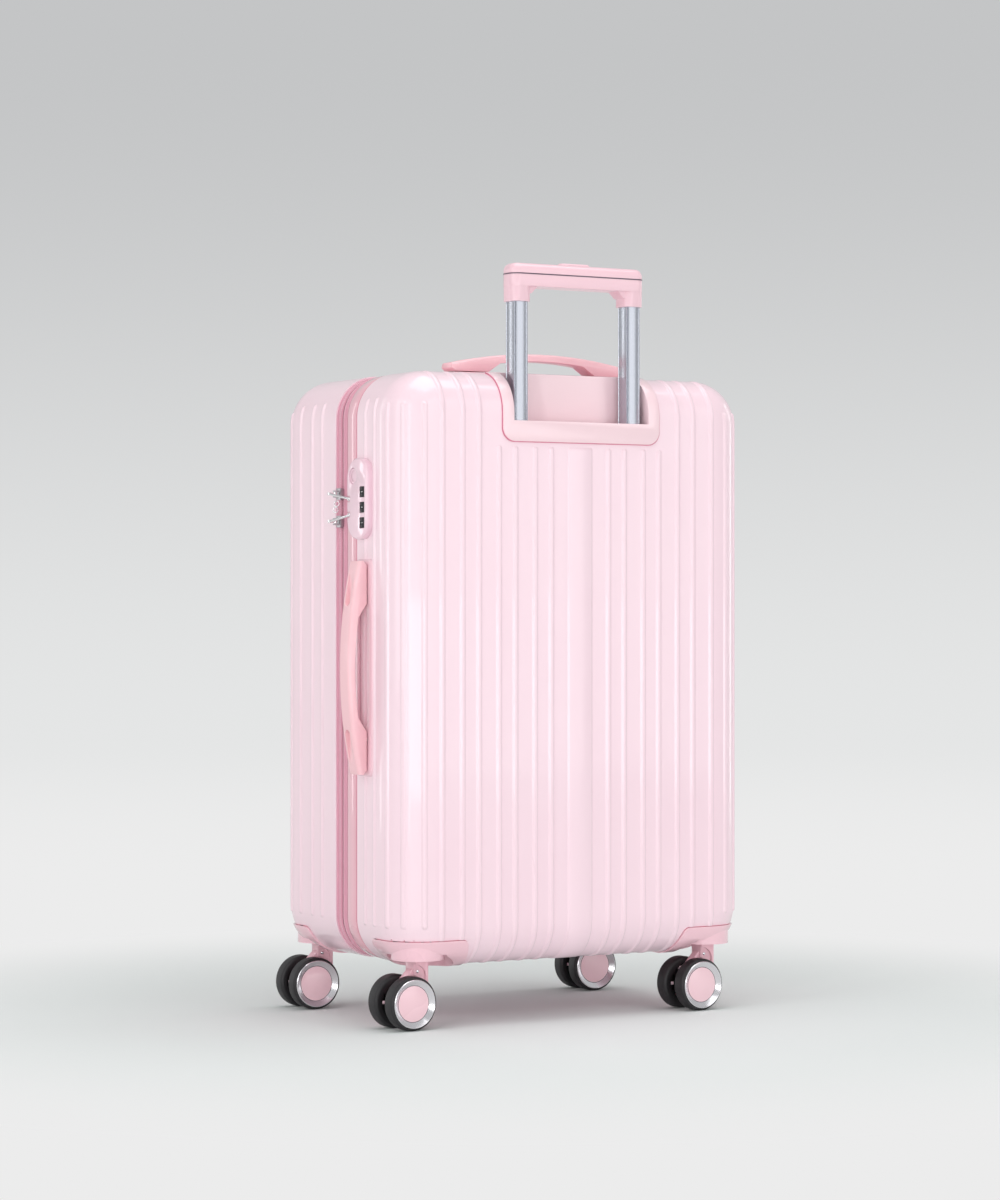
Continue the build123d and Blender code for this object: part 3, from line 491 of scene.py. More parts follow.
def outline_place(step, depth):
    """A point a given way round the case's outline, and the outward direction there."""
    radius = OUTLINE_ROUND
    straight = [2 * (HALF_HEIGHT - radius), 2 * (HALF_WIDTH - radius)]
    bend = radius * math.pi / 2
    left = step % (2 * sum(straight) + 4 * bend)
    for side in range(4):
        turn = Matrix.Rotation(side * math.pi / 2, 3, "Y")
        out = turn @ Vector((-1, 0, 0))
        ahead = turn @ Vector((0, 0, 1))
        reach = HALF_WIDTH if side % 2 == 0 else HALF_HEIGHT
        length = straight[side % 2]
        if left < length:
            return CASE + out * (reach - depth) + ahead * (left - length / 2), out
        left -= length
        if left < bend:
            angle = left / radius
            out_there = out * math.cos(angle) + ahead * math.sin(angle)
            centre = CASE + out * (reach - radius) + ahead * (length / 2)
            return centre + out_there * (radius - depth), out_there
        left -= bend
    return CASE, Vector((0, 0, 1))


OUTLINE_LENGTH = 4 * (HALF_WIDTH + HALF_HEIGHT - 2 * OUTLINE_ROUND) + 2 * math.pi * OUTLINE_ROUND


def sewn_row(y, depth, pitch, size, shift):
    """Small rounded knots at an even pitch all round the outline."""
    row = bmesh.new()
    count = round(OUTLINE_LENGTH / pitch)
    for number in range(count):
        spot, out = outline_place(number * OUTLINE_LENGTH / count, depth)
        along = out.cross(Vector((0, 1, 0)))
        grid = Matrix((along, (0, 1, 0), out)).transposed().to_4x4()
        place = Matrix.Translation(spot + Vector((0, y + shift * (number % 2 * 2 - 1), 0)))
        bmesh.ops.create_icosphere(
            row, subdivisions=1, radius=1, matrix=place @ grid @ Matrix.Diagonal((*size, 1))
        )
    return row


tape_pink = woven_tape("tape_pink", tint(236, 172, 190), tint(216, 142, 166))
thread_pale = woven_tape("thread_pale", tint(253, 232, 239), tint(242, 208, 220))
coil_dark = woven_tape("coil_dark", tint(158, 88, 112), tint(118, 58, 80))
for name, node, body, side in (
    ("tape_back", "zip_tape_back", "case_back", -1),
    ("tape_front", "zip_tape_front", "case_front", 1),
):
    low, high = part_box(node)
    edge = ZIP_LINE + side * SLIT_HALF
    far = high.y - 0.0001 if side > 0 else low.y + 0.0001
    rows = [
        (edge, 0.0036), (edge + side * 0.0003, 0.0026), (edge + side * 0.0010, 0.0016),
        (edge + side * 0.0038, 0.0012), (edge + side * 0.0056, 0.0014),
        (edge + side * 0.0066, 0.0021), (edge + side * 0.0074, 0.0022), (far, 0.0014),
    ]
    tape = round_the_case(sorted(rows), TAPE_SHEET)
    finish_piece(name, tape, tape_pink, body, [node])
    stitches = sewn_row(edge + side * STITCH_IN, 0.0015, STITCH_PITCH, STITCH_SIZE, 0)
    finish_piece(f"stitches_{name}", stitches, thread_pale, body)
coil = sewn_row(ZIP_LINE, 0.0027, COIL_PITCH, COIL_SIZE, 0.0002)
finish_piece("coil", coil, coil_dark, "case_back")


# ------------------------ the trolley cup
# A light pink moulded tray let into the top of the back shell, with a flange round it that
# rests on the shell. A fine dark-pink line at the flange's edge is painted shadow: a thin
# sheet that stands for the shade in the gap under the flange.
def softened(node, round_by, segments=2, keep=28):
    """A copy of a solid piece with its flat faces made whole and its edges rounded."""
    shape = bmesh.new()
    shape.from_mesh(frame["nodes"][node].data)
    bmesh.ops.remove_doubles(shape, verts=shape.verts, dist=2e-6)
    bmesh.ops.dissolve_limit(
        shape, angle_limit=math.radians(0.6), verts=shape.verts, edges=shape.edges,
        use_dissolve_boundaries=False,
    )
    edges = [
        e for e in shape.edges
        if len(e.link_faces) == 2 and e.calc_face_angle(0) > math.radians(keep)
    ]
    round_edges(shape, edges, round_by, segments, clamped=True)
    return shape


cup_pink = pink_plastic("cup_pink", tint(251, 215, 223), tint(253, 226, 232), 0.28, 0.8, 0.05)
# painted shadow: this dark pink stands for the shade in the gap round the cup's flange
shadow_line_pink = pink_plastic("shadow_line_pink", tint(216, 124, 150), tint(224, 138, 162), 0.5, 0.1, 0.1)
finish_piece("cup", softened("handle_cup", 0.0007), cup_pink, "case_back", ["handle_cup"])


def seal_under(node, anchor, wider, sunk):
    """A thin dark sheet round a piece, a painted shadow line at its edge: the same form, grown and
    sunk.
    """
    low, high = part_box(node)
    shape = softened(node, 0.0003, 1)
    grow = [1 + 2 * wider[i] / (high[i] - low[i]) for i in range(3)]
    bmesh.ops.translate(shape, vec=-anchor, verts=shape.verts)
    bmesh.ops.scale(shape, vec=grow, verts=shape.verts)
    bmesh.ops.translate(shape, vec=anchor + sunk, verts=shape.verts)
    return shape


cup_anchor = Vector((cup_x, cup_low.y, cup_high.z))
# the cup's painted shadow line: a dark sheet just outside the flange's edge
cup_shadow_line = seal_under("handle_cup", cup_anchor, (0.0006, 0, 0.0003), Vector((0, 0.0005, -0.0003)))
finish_piece("cup_shadow_line", cup_shadow_line, shadow_line_pink, "case_back")


# ------------------------ the telescopic tubes
# Bright anodised aluminium tubes in two sizes, drawn with a groove down each rounded corner.
# The inner pair slides in the fixed pair, which is hidden in the case.
def anodised(name, colour, roughness):
    """Bright drawn metal, with faint lines along its length."""
    dark = [c * 0.86 for c in colour[:3]] + [1]
    material, place, lines = two_toned(name, "ShaderNodeTexNoise", dark, colour)
    lines.inputs["Scale"].default_value = 2600
    nodes, links = material.node_tree.nodes, material.node_tree.links
    surface = nodes["Principled BSDF"]
    stretch = nodes.new("ShaderNodeMapping")
    stretch.inputs["Scale"].default_value = (1, 1, 0.01)
    links.new(place.outputs["Object"], stretch.inputs["Vector"])
    links.new(stretch.outputs["Vector"], lines.inputs["Vector"])
    gloss = nodes.new("ShaderNodeMapRange")
    gloss.inputs["To Min"].default_value = roughness
    gloss.inputs["To Max"].default_value = roughness + 0.12
    links.new(lines.outputs["Fac"], gloss.inputs["Value"])
    links.new(gloss.outputs["Result"], surface.inputs["Roughness"])
    surface.inputs["Metallic"].default_value = 1.0
    return material


tubes_low, tubes_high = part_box("inner_tubes")
TUBE_WIDTH = 0.0168
TUBE_ROUND = 0.0032
TUBE_WALL = 0.0012
GROOVE_STEP = 0.00042
CROWN = 0.0006


def grooved_tube(shape, x):
    """One hollow tube with faintly crowned faces and a fine groove down each rounded corner."""
    middle = Vector((x, (tubes_low.y + tubes_high.y) / 2, (tubes_low.z + tubes_high.z) / 2))
    size = Vector((TUBE_WIDTH, tubes_high.y - tubes_low.y, tubes_high.z - tubes_low.z))
    tube = bmesh.new()
    bmesh.ops.create_cube(tube, size=1)
    bmesh.ops.scale(tube, vec=size, verts=tube.verts)
    bmesh.ops.delete(tube, geom=[f for f in tube.faces if abs(f.normal.z) > 0.9], context="FACES")
    upright = [e for e in tube.edges if abs(e.verts[0].co.z - e.verts[1].co.z) > 0.01]
    round_edges(tube, upright, TUBE_ROUND, 10)
    bmesh.ops.recalc_face_normals(tube, faces=tube.faces)
    core = size / 2 - Vector((TUBE_ROUND, TUBE_ROUND, 0))
    for share in [step / 5 for step in range(-4, 5)]:
        cut(tube, tube.faces, (share * core.x, 0, 0), (1, 0, 0))
        cut(tube, tube.faces, (0, share * core.y, 0), (0, 1, 0))
    for corner in tube.verts:
        out_x, out_y = abs(corner.co.x) - core.x, abs(corner.co.y) - core.y
        if out_x > 0 and abs(out_x - out_y) < NEAR:
            corner.co.x -= math.copysign(GROOVE_STEP, corner.co.x)
            corner.co.y -= math.copysign(GROOVE_STEP, corner.co.y)
        elif out_x <= 1e-6:
            corner.co.y -= math.copysign(CROWN * (corner.co.x / core.x) ** 2, corner.co.y)
        elif out_y <= 1e-6:
            corner.co.x -= math.copysign(CROWN * (corner.co.y / core.y) ** 2, corner.co.x)
    bmesh.ops.solidify(tube, geom=tube.faces, thickness=TUBE_WALL)
    bmesh.ops.translate(tube, vec=middle, verts=tube.verts)
    made = bpy.data.meshes.new("tube")
    tube.to_mesh(made)
    tube.free()
    shape.from_mesh(made)
    bpy.data.meshes.remove(made)


bright_tube = anodised("bright_tube", tint(185, 188, 197), 0.2)
tube_pair = bmesh.new()
for tube_x in (tubes_low.x + TUBE_WIDTH / 2, tubes_high.x - TUBE_WIDTH / 2):
    grooved_tube(tube_pair, tube_x)
finish_piece("tubes_inner", tube_pair, bright_tube, "trolley", ["inner_tubes"], 25)
for node in ("outer_tubes", "release_rods"):
    frame["nodes"][node].data.materials[0] = bright_tube


# ------------------------ the grip
# A moulded pink grip with two sleeves over the tubes and a lighter cover, which a thin dark
# line parts from the body. The button in the middle of the cover stands a little proud.
grip_pink = pink_plastic("grip_pink", tint(243, 199, 211), tint(247, 210, 220), 0.32, 0.5, 0.08)
cover_pink = pink_plastic("cover_pink", tint(246, 200, 212), tint(248, 210, 220), 0.3, 0.6, 0.06)
for name, node, round_by, material, body, slot in (
    ("grip", "grip_body", 0.0008, grip_pink, "trolley", "grip_side"),
    ("grip_top", "grip_cover", 0.0004, cover_pink, "trolley", "grip_top"),
    ("button", "release_button", 0.0003, cover_pink, "release", "button"),
):
    finish_piece(name, softened(node, round_by), material, body, [node])


def loose_block(low, high, round_upright, round_all=0.0, segments=6):
    """A block between two corners with its upright edges rounded, and the rest if asked."""
    block = bmesh.new()
    bmesh.ops.create_cube(block, size=1)
    bmesh.ops.scale(block, vec=high - low, verts=block.verts)
    bmesh.ops.translate(block, vec=(low + high) / 2, verts=block.verts)
    upright = [e for e in block.edges if abs(e.verts[0].co.z - e.verts[1].co.z) > 1e-6]
    if round_upright:
        round_edges(block, upright, round_upright, segments)
    if round_all:
        rims = [e for e in block.edges if e.calc_face_angle(0) > math.radians(50)]
        round_edges(block, rims, round_all, 2)
    return block


seam_grey = pink_plastic("seam_grey", tint(92, 78, 90), tint(112, 96, 108), 0.5, 0.0, 0.1)
grip_low, grip_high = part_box("grip_body")
SEAM_OUT = Vector((0.0002, 0.0002, 0))
SEAM_LOW, SEAM_HIGH = 0.0003, 0.0009
SEAM_ROUND = 0.0102
seam_low = Vector((grip_low.x, grip_low.y, grip_high.z - SEAM_LOW)) - SEAM_OUT
seam_high = Vector((grip_high.x, grip_high.y, grip_high.z + SEAM_HIGH)) + SEAM_OUT
seam = loose_block(seam_low, seam_high, SEAM_ROUND, 0, 12)
bmesh.ops.delete(seam, geom=[f for f in seam.faces if abs(f.normal.z) > 0.9], context="FACES")
bmesh.ops.solidify(seam, geom=seam.faces, thickness=0.002)
finish_piece("grip_seam", seam, seam_grey, "trolley")


# ------------------------ the carrying handles
# Two equal straps with thick ends, moulded in a warmer satin pink. Steel pins hold each one
# to a glossy base frame on the back shell.
handle_pink = pink_plastic("handle_pink", tint(250, 194, 202), tint(252, 205, 212), 0.36, 0.4, 0.08)
base_pink = pink_plastic("base_pink", tint(246, 200, 213), tint(249, 212, 222), 0.28, 0.8, 0.05)
for name, body in (("top_handle", "top_grip"), ("side_handle", "side_grip")):
    finish_piece(f"{name}_strap", softened(name, 0.0012), handle_pink, body, [name])
    base = f"{name}_base"
    frame_shape = softened(base, 0.0005)
    finish_piece(f"{name}_frame", frame_shape, base_pink, "case_back", [base])

PIN_OFFSET = 0.072
PIN_RADIUS = 0.0009
PIN_RISE = 0.0008
PIN_IN = 0.001


def handle_pins(name, base):
    """The bright ends of the four hinge pins, in the slit between strap and frame."""
    low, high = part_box(base)
    strap_low, strap_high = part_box(name)
    middle = (low + high) / 2
    pins = bmesh.new()
    for along in (-PIN_OFFSET, PIN_OFFSET):
        for side in (strap_low.y + PIN_IN, strap_high.y - PIN_IN):
            if base.startswith("top"):
                place = Vector((middle.x + along, side, high.z + PIN_RISE))
            else:
                place = Vector((low.x - PIN_RISE, side, middle.z + along))
            bmesh.ops.create_uvsphere(
                pins, u_segments=12, v_segments=8, radius=PIN_RADIUS,
                matrix=Matrix.Translation(place),
            )
    return pins


pin_steel = anodised("pin_steel", tint(240, 226, 230), 0.2)
for name in ("top_handle", "side_handle"):
    pins = handle_pins(name, f"{name}_base")
    finish_piece(f"{name}_pins", pins, pin_steel, "case_back")


# ------------------------ the lock
# A light pink moulded housing with rounded ends, let into the side of the back shell, with a
# round sunk button and three black number dials.
lock_pink = pink_plastic("lock_pink", tint(242, 200, 216), tint(246, 214, 226), 0.25, 0.9, 0.04)
lock_shape = softened("lock_body", 0.0008)
# its rim goes a little into the shell, so that no corner lies level with the shell's face
for corner in lock_shape.verts:
    if abs(corner.co.x - (CASE.x - HALF_WIDTH)) < 0.0009:
        corner.co.x += 0.0012
finish_piece("lock", lock_shape, lock_pink, "case_back", ["lock_body"])
KNOB_DISH = 0.0012
knob = softened("lock_button", 0.0004)
knob_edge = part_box("lock_button")[0].x + 0.0001
knob_face = [f for f in knob.faces if f.normal.x < -0.9 and f.calc_center_median().x < knob_edge]
bmesh.ops.inset_region(
    knob, faces=knob_face, thickness=KNOB_DISH, depth=-KNOB_DISH, use_even_offset=True
)
finish_piece("lock_knob", knob, lock_pink, "lock_push", ["lock_button"])


def grained(name, colour, pale, roughness, grain):
    """Matt moulded plastic or rubber with a fine grain."""
    material, _, speckle = two_toned(name, "ShaderNodeTexNoise", colour, pale)
    speckle.inputs["Scale"].default_value = grain
    speckle.inputs["Detail"].default_value = 3
    give_relief(material, speckle, 0.25)
    surface = material.node_tree.nodes["Principled BSDF"]
    surface.inputs["Roughness"].default_value = roughness
    return material


dial_black = grained("dial_black", tint(24, 24, 26), tint(40, 40, 44), 0.35, 900)
digit_white = grained("digit_white", tint(232, 230, 232), tint(250, 248, 250), 0.5, 900)
DIGIT_SIZE = 0.0026
DIGIT_RISE = 0.00006


def dial_digits(low, high):
    """The numbers 0 to 9 raised a hair from the ribbed ring of a dial, read along its axle."""
    centre = (low + high) / 2
    radius = (high.x - low.x) / 2 + DIGIT_RISE / 3
    digits = bmesh.new()
    for value in range(10):
        figure = bpy.data.curves.new("figure", "FONT")
        figure.body = str(value)
        figure.size = DIGIT_SIZE
        figure.align_x = "CENTER"
        figure.align_y = "CENTER"
        figure.extrude = DIGIT_RISE
        figure.resolution_u = 3
        holder = bpy.data.objects.new("figure", figure)
        flat = bpy.data.meshes.new_from_object(holder)
        angle = math.radians(36 * (value + 0.5))
        out = Vector((math.cos(angle), math.sin(angle), 0))
        ahead = Vector((0, 0, -1))
        grid = Matrix((ahead, out.cross(ahead), out)).transposed().to_4x4()
        flat.transform(Matrix.Translation(centre + out * radius) @ grid)
        digits.from_mesh(flat)
        bpy.data.objects.remove(holder)
        bpy.data.curves.remove(figure)
        bpy.data.meshes.remove(flat)
    bmesh.ops.remove_doubles(digits, verts=digits.verts, dist=1e-6)
    return digits


for number, body in ((1, "dial_a"), (2, "dial_b"), (3, "dial_c")):
    node = f"dial_{number}"
    ring = softened(node, 0.0002, 1)
    finish_piece(f"number_dial_{number}", ring, dial_black, body, [node])
    finish_piece(f"digits_{number}", dial_digits(*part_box(node)), digit_white, body)


# ------------------------ sliders and pullers
# Die-cast zip sliders, and cranked puller rods with a round eye at the tip, all in nickel.
# Two small wire rings hang between the sliders.
nickel = anodised("nickel", tint(240, 238, 240), 0.14)
dull_nickel = anodised("dull_nickel", tint(184, 180, 184), 0.25)
sliders = softened("zip_sliders", 0.0004)
finish_piece("sliders", sliders, dull_nickel, "case_back", ["zip_sliders"])
for node, body in (("upper_puller", "puller_a"), ("lower_puller", "puller_b")):
    finish_piece(f"{node}_rod", softened(node, 0.0003), nickel, body, [node])


def small_ring(place, across, radius, wire):
    """A closed wire ring about the given direction."""
    ring = bmesh.new()
    upright = Matrix.Rotation(math.pi / 2, 4, "X")
    bmesh.ops.create_circle(ring, segments=10, radius=wire, matrix=upright)
    bmesh.ops.translate(ring, vec=(radius, 0, 0), verts=ring.verts)
    bmesh.ops.spin(
        ring, geom=ring.verts[:] + ring.edges[:], cent=(0, 0, 0), axis=(0, 0, 1),
        angle=2 * math.pi, steps=28, use_merge=True,
    )
    bmesh.ops.remove_doubles(ring, verts=ring.verts, dist=1e-6)
    turn = Vector((0, 0, 1)).rotation_difference(across).to_matrix().to_4x4()
    bmesh.ops.transform(ring, matrix=Matrix.Translation(place) @ turn, verts=ring.verts)
    bmesh.ops.recalc_face_normals(ring, faces=ring.faces)
    return ring


WIRE = 0.0005
EYE_RADIUS = 0.0014
EYE_FACING = Vector((-0.9, -0.4, 0))
LOOP_RADIUS = 0.0028
LOOP_FACING = Vector((-0.8, -0.6, 0.1)).normalized()
for side, body, z in (("upper", "puller_a", 0.5300), ("lower", "puller_b", 0.5140)):
    tip_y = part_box(f"{side}_puller")[0].y + EYE_RADIUS
    eye = small_ring(Vector((lock_low.x - 0.0004, tip_y, z)), EYE_FACING, EYE_RADIUS, WIRE)
    finish_piece(f"{side}_eye", eye, nickel, body)
loop_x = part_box("zip_sliders")[0].x + 0.0026
for side, y, z in (("upper", -0.0110, 0.5262), ("lower", -0.0088, 0.5200)):
    loop = small_ring(Vector((loop_x, y, z)), LOOP_FACING, LOOP_RADIUS, WIRE)
    finish_piece(f"{side}_loop", loop, nickel, "case_back")


# ------------------------ caster housings and forks
# Glossy pink corner housings, set off from the shell by a thin lip whose darker pink is
# painted shade in the slit, and forks of the same plastic that swivel under them. A steel
# axle pin goes through each fork.
housing_pink = pink_plastic(
    "housing_pink", tint(248, 198, 211), tint(251, 210, 220), 0.26, 0.9, 0.05
)
# painted shade: the lip's dark pink stands for the shadow in the slit round each housing
lip_shadow_pink = pink_plastic("lip_shadow_pink", tint(214, 120, 146), tint(222, 134, 158), 0.4, 0.2, 0.05)
fork_pink = pink_plastic("fork_pink", tint(242, 186, 200), tint(246, 199, 210), 0.3, 0.6, 0.05)
for side, seam_y, facing in (("back", SEAM_BACK, -1), ("front", SEAM_FRONT, 1)):
    node, body = f"caster_housings_{side}", f"case_{side}"
    finish_piece(f"housings_{side}", softened(node, 0.0007), housing_pink, body, [node])
    lip = housing_lip(seam_y, facing)
    finish_piece(f"housing_lips_{side}", lip, lip_shadow_pink, body)

RIVET_BACK = 0.0045
RIVET_HEIGHT = 0.0575
RIVET_RADIUS = 0.0018
RIVET_FLAT = 0.45
CHEEK = 0.0075


def fork_rivets(corner):
    """The round heads of the rivet through the fork, in the arched pocket on both cheeks."""
    pin_low, pin_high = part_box(f"{corner}_axle")
    axle = (pin_low + pin_high) / 2
    turn = next(j for j in frame["joints"] if j["name"] == f"{corner}_swivel")
    swivel = Vector(turn["pos_m"])
    trail = Vector((axle.x - swivel.x, axle.y - swivel.y, 0)).normalized()
    across = trail.cross(Vector((0, 0, 1)))
    heads = bmesh.new()
    flat = Matrix.Diagonal((1, 1, RIVET_FLAT, 1))
    for side in (-1, 1):
        middle = Vector((swivel.x, swivel.y, RIVET_HEIGHT)) + trail * RIVET_BACK
        place = Matrix.Translation(middle + across * (side * CHEEK))
        tilt = Vector((0, 0, 1)).rotation_difference(across * side).to_matrix().to_4x4()
        bmesh.ops.create_uvsphere(
            heads, u_segments=20, v_segments=12, radius=RIVET_RADIUS, matrix=place @ tilt @ flat
        )
    return heads


tyre_black = grained("tyre_black", tint(22, 20, 23), tint(40, 38, 41), 0.5, 700)
hub_black = grained("hub_black", tint(14, 14, 15), tint(26, 26, 28), 0.45, 500)
trim_silver = anodised("trim_silver", tint(236, 234, 238), 0.12)
steel_pin = anodised("steel_pin", tint(200, 200, 204), 0.25)
for corner in ("back_left", "back_right", "front_left", "front_right"):
    node, body = f"{corner}_fork", f"{corner}_caster"
    finish_piece(f"{corner}_yoke", softened(node, 0.0008), fork_pink, body, [node])
    frame["nodes"][f"{corner}_axle"].data.materials[0] = steel_pin
    finish_piece(f"{corner}_rivets", fork_rivets(corner), trim_silver, body)


# ------------------------ the wheels
# Each wheel is a black rubber tread on a black spoked core, with a bright bevelled ring
# round a pink disc on its outer face.
def turned(points, centre, axis, rounds):
    """A profile of radius and depth along the axle, turned about it and rounded where asked."""
    shape = bmesh.new()
    corners = [shape.verts.new((radius, depth, 0)) for radius, depth in points]
    chain = [shape.edges.new(pair) for pair in zip(corners, corners[1:] + corners[:1])]
    bmesh.ops.spin(
        shape, geom=corners + chain, cent=(0, 0, 0), axis=(0, 1, 0), angle=2 * math.pi, steps=72,
        use_merge=True,
    )
    bmesh.ops.remove_doubles(shape, verts=shape.verts, dist=1e-6)
    bmesh.ops.recalc_face_normals(shape, faces=shape.faces)
    for radius, depth, round_by, segments in rounds:
        on_ring = {
            v for v in shape.verts
            if abs(math.hypot(v.co.x, v.co.z) - radius) < NEAR and abs(v.co.y - depth) < NEAR
        }
        ring = [e for e in shape.edges if all(v in on_ring for v in e.verts)]
        round_edges(shape, ring, round_by, segments)
    turn = Vector((0, 1, 0)).rotation_difference(axis).to_matrix().to_4x4()
    bmesh.ops.transform(shape, matrix=Matrix.Translation(centre) @ turn, verts=shape.verts)
    bmesh.ops.recalc_face_normals(shape, faces=shape.faces)
    return shape


cap_pink = pink_plastic("cap_pink", tint(250, 206, 216), tint(252, 216, 224), 0.26, 0.9, 0.04)
tab_pink = pink_plastic("tab_pink", tint(250, 214, 224), tint(253, 226, 234), 0.4, 0.3, 0.05)
# radii of the wheel's rings, then depths along its axle from the fork outwards
TREAD_R, RING_R, BEVEL_R, CORE_R, DISC_R = 0.027, 0.0243, 0.0223, 0.0205, 0.0182
INNER_FACE, HUB_SEAT, DISC_FACE, OUTER_FACE = 0.0070, 0.0198, 0.0206, 0.0225
TAB_PLACE = 0.0166
TAB_HALF = 0.0015
TAB_END = 0.0074
TRIM_SEAT = HUB_SEAT + 0.0002
BEVEL_SEAT = HUB_SEAT + 0.0009
DISC_GAP = 0.0002


def snap_tabs(centre, axis):
    """Five square tabs of the cap that reach through the windows of the core."""
    turn = Vector((0, 1, 0)).rotation_difference(axis).to_matrix().to_4x4()
    tabs = bmesh.new()
    for number in range(5):
        angle = -math.radians(72 * (number + 0.5))
        low = Vector((TAB_PLACE - TAB_HALF, TAB_END, -TAB_HALF))
        high = Vector((TAB_PLACE + TAB_HALF, TRIM_SEAT, TAB_HALF))
        tab = bpy.data.meshes.new("tab")
        block = loose_block(low, high, 0, 0.0002)
        block.to_mesh(tab)
        block.free()
        tab.transform(Matrix.Translation(centre) @ turn @ Matrix.Rotation(angle, 4, "Y"))
        tabs.from_mesh(tab)
        bpy.data.meshes.remove(tab)
    return tabs


for joint in frame["joints"]:
    if not joint["name"].endswith("_spin"):
        continue
    stem = joint["name"][:-5]
    body = f"{stem}_wheel"
    centre = Vector(joint["pos_m"])
    low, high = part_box(f"{stem}_tyre")
    axis = Vector(joint["axis"])
    if ((low + high) / 2 - centre).dot(axis) < 0:
        axis = -axis
    tread = turned(
        [
            (CORE_R, INNER_FACE), (TREAD_R, INNER_FACE), (TREAD_R, OUTER_FACE),
            (BEVEL_R, OUTER_FACE), (CORE_R, BEVEL_SEAT),
        ],
        centre, axis, [(TREAD_R, INNER_FACE, 0.0035, 5), (TREAD_R, OUTER_FACE, 0.0028, 5)],
    )
    finish_piece(f"{stem}_tread", tread, tyre_black, body, [f"{stem}_tyre"])
    frame["nodes"][f"{stem}_hub"].data.materials[0] = hub_black
    trim = turned(
        [
            (CORE_R - 0.0004, TRIM_SEAT), (CORE_R - 0.0003, BEVEL_SEAT), (BEVEL_R, OUTER_FACE),
            (RING_R, OUTER_FACE), (RING_R, OUTER_FACE + 0.0008),
            (RING_R - 0.0003, OUTER_FACE + 0.0012), (RING_R - 0.0007, OUTER_FACE + 0.0014),
            (RING_R - 0.0011, OUTER_FACE + 0.0012), (DISC_R + DISC_GAP, DISC_FACE),
            (DISC_R + DISC_GAP, TRIM_SEAT),
        ],
        centre, axis, [],
    )
    finish_piece(f"{stem}_trim", trim, trim_silver, body, [f"{stem}_cap"], 25)
    disc = turned(
        [(0, HUB_SEAT), (DISC_R, HUB_SEAT), (DISC_R, DISC_FACE), (0, DISC_FACE + 0.0002)],
        centre, axis, [(DISC_R, DISC_FACE, 0.0003, 2)],
    )
    finish_piece(f"{stem}_disc", disc, cap_pink, body)
    finish_piece(f"{stem}_tabs", snap_tabs(centre, axis), tab_pink, body)


# ------------------------ inside the case
# A stiff board over the tubes, covered in woven lining cloth, and the black bracket that
# holds the tubes' feet.
lining_cloth = woven_tape("lining_cloth", tint(176, 168, 174), tint(156, 148, 154))
frame["nodes"]["liner_board"].data.materials[0] = lining_cloth
frame["nodes"]["trolley_foot"].data.materials[0] = hub_black


# ------------------------ the stage
# A plain pale floor that runs into a grey backdrop, soft lamps in front and above, and a
# long lens at the height of the case's middle.
FLOOR_GREY = tint(236, 236, 236)
FLOOR_PAINT = tint(231, 237, 236)
HORIZON_GREY = tint(229, 230, 230)
UPPER_GREY = tint(196, 197, 198)
FLOOR_REACH = 7.0
FLOOR_FADE = (0.38, 0.9)


def soft_step(nodes, links, value, start, end):
    """A value that eases from nothing to one between two limits."""
    step = nodes.new("ShaderNodeMapRange")
    step.interpolation_type = "SMOOTHSTEP"
    step.inputs["From Min"].default_value = start
    step.inputs["From Max"].default_value = end
    links.new(value, step.inputs["Value"])
    return step.outputs["Result"]


def two_greys(nodes, links, share, near, far):
    """A colour between two greys."""
    blend = nodes.new("ShaderNodeMix")
    blend.data_type = "RGBA"
    blend.inputs["A"].default_value = near
    blend.inputs["B"].default_value = far
    links.new(share, blend.inputs["Factor"])
    return blend.outputs["Result"]


def stage_floor(name):
    """Matt pale floor that keeps the case's shadow and runs out into an even grey far away."""
    faint = [c * 0.985 for c in FLOOR_PAINT[:3]] + [1]
    material, place, grain = two_toned(name, "ShaderNodeTexNoise", FLOOR_PAINT, faint)
    grain.inputs["Scale"].default_value = 3
    nodes, links = material.node_tree.nodes, material.node_tree.links
    surface = nodes["Principled BSDF"]
    surface.inputs["Roughness"].default_value = 0.9
    surface.inputs["Specular IOR Level"].default_value = 0.2
    distance = nodes.new("ShaderNodeVectorMath")
    distance.operation = "LENGTH"
    links.new(place.outputs["Object"], distance.inputs[0])
    fade = soft_step(nodes, links, distance.outputs["Value"], *FLOOR_FADE)
    far = soft_step(nodes, links, distance.outputs["Value"], 1.5, FLOOR_REACH)
    tone = two_greys(nodes, links, far, FLOOR_GREY, HORIZON_GREY)
    glow = nodes.new("ShaderNodeEmission")
    links.new(tone, glow.inputs["Color"])
    both = nodes.new("ShaderNodeMath")
    both.operation = "MULTIPLY"
    links.new(seen_directly(nodes, links), both.inputs[0])
    links.new(fade, both.inputs[1])
    mix = nodes.new("ShaderNodeMixShader")
    links.new(both.outputs["Value"], mix.inputs["Fac"])
    links.new(surface.outputs["BSDF"], mix.inputs[1])
    links.new(glow.outputs["Emission"], mix.inputs[2])
    links.new(mix.outputs["Shader"], nodes["Material Output"].inputs["Surface"])
    return material


def seen_directly(nodes, links):
    """One where the backdrop is looked at, straight or in a reflection, and nothing elsewhere."""
    path = nodes.new("ShaderNodeLightPath")
    seen = path.outputs["Is Camera Ray"]
    for kind in ("Is Glossy Ray", "Is Transmission Ray"):
        either = nodes.new("ShaderNodeMath")
        either.operation = "MAXIMUM"
        links.new(seen, either.inputs[0])
        links.new(path.outputs[kind], either.inputs[1])
        seen = either.outputs["Value"]
    return seen


floor_shape = bmesh.new()
bmesh.ops.create_circle(floor_shape, cap_ends=True, segments=96, radius=FLOOR_REACH)
floor_mesh = bpy.data.meshes.new("floor")
floor_shape.to_mesh(floor_mesh)
floor_shape.free()
floor_mesh.materials.append(stage_floor("stage_floor"))
floor = bpy.data.objects.new("floor", floor_mesh)
bpy.context.scene.collection.objects.link(floor)

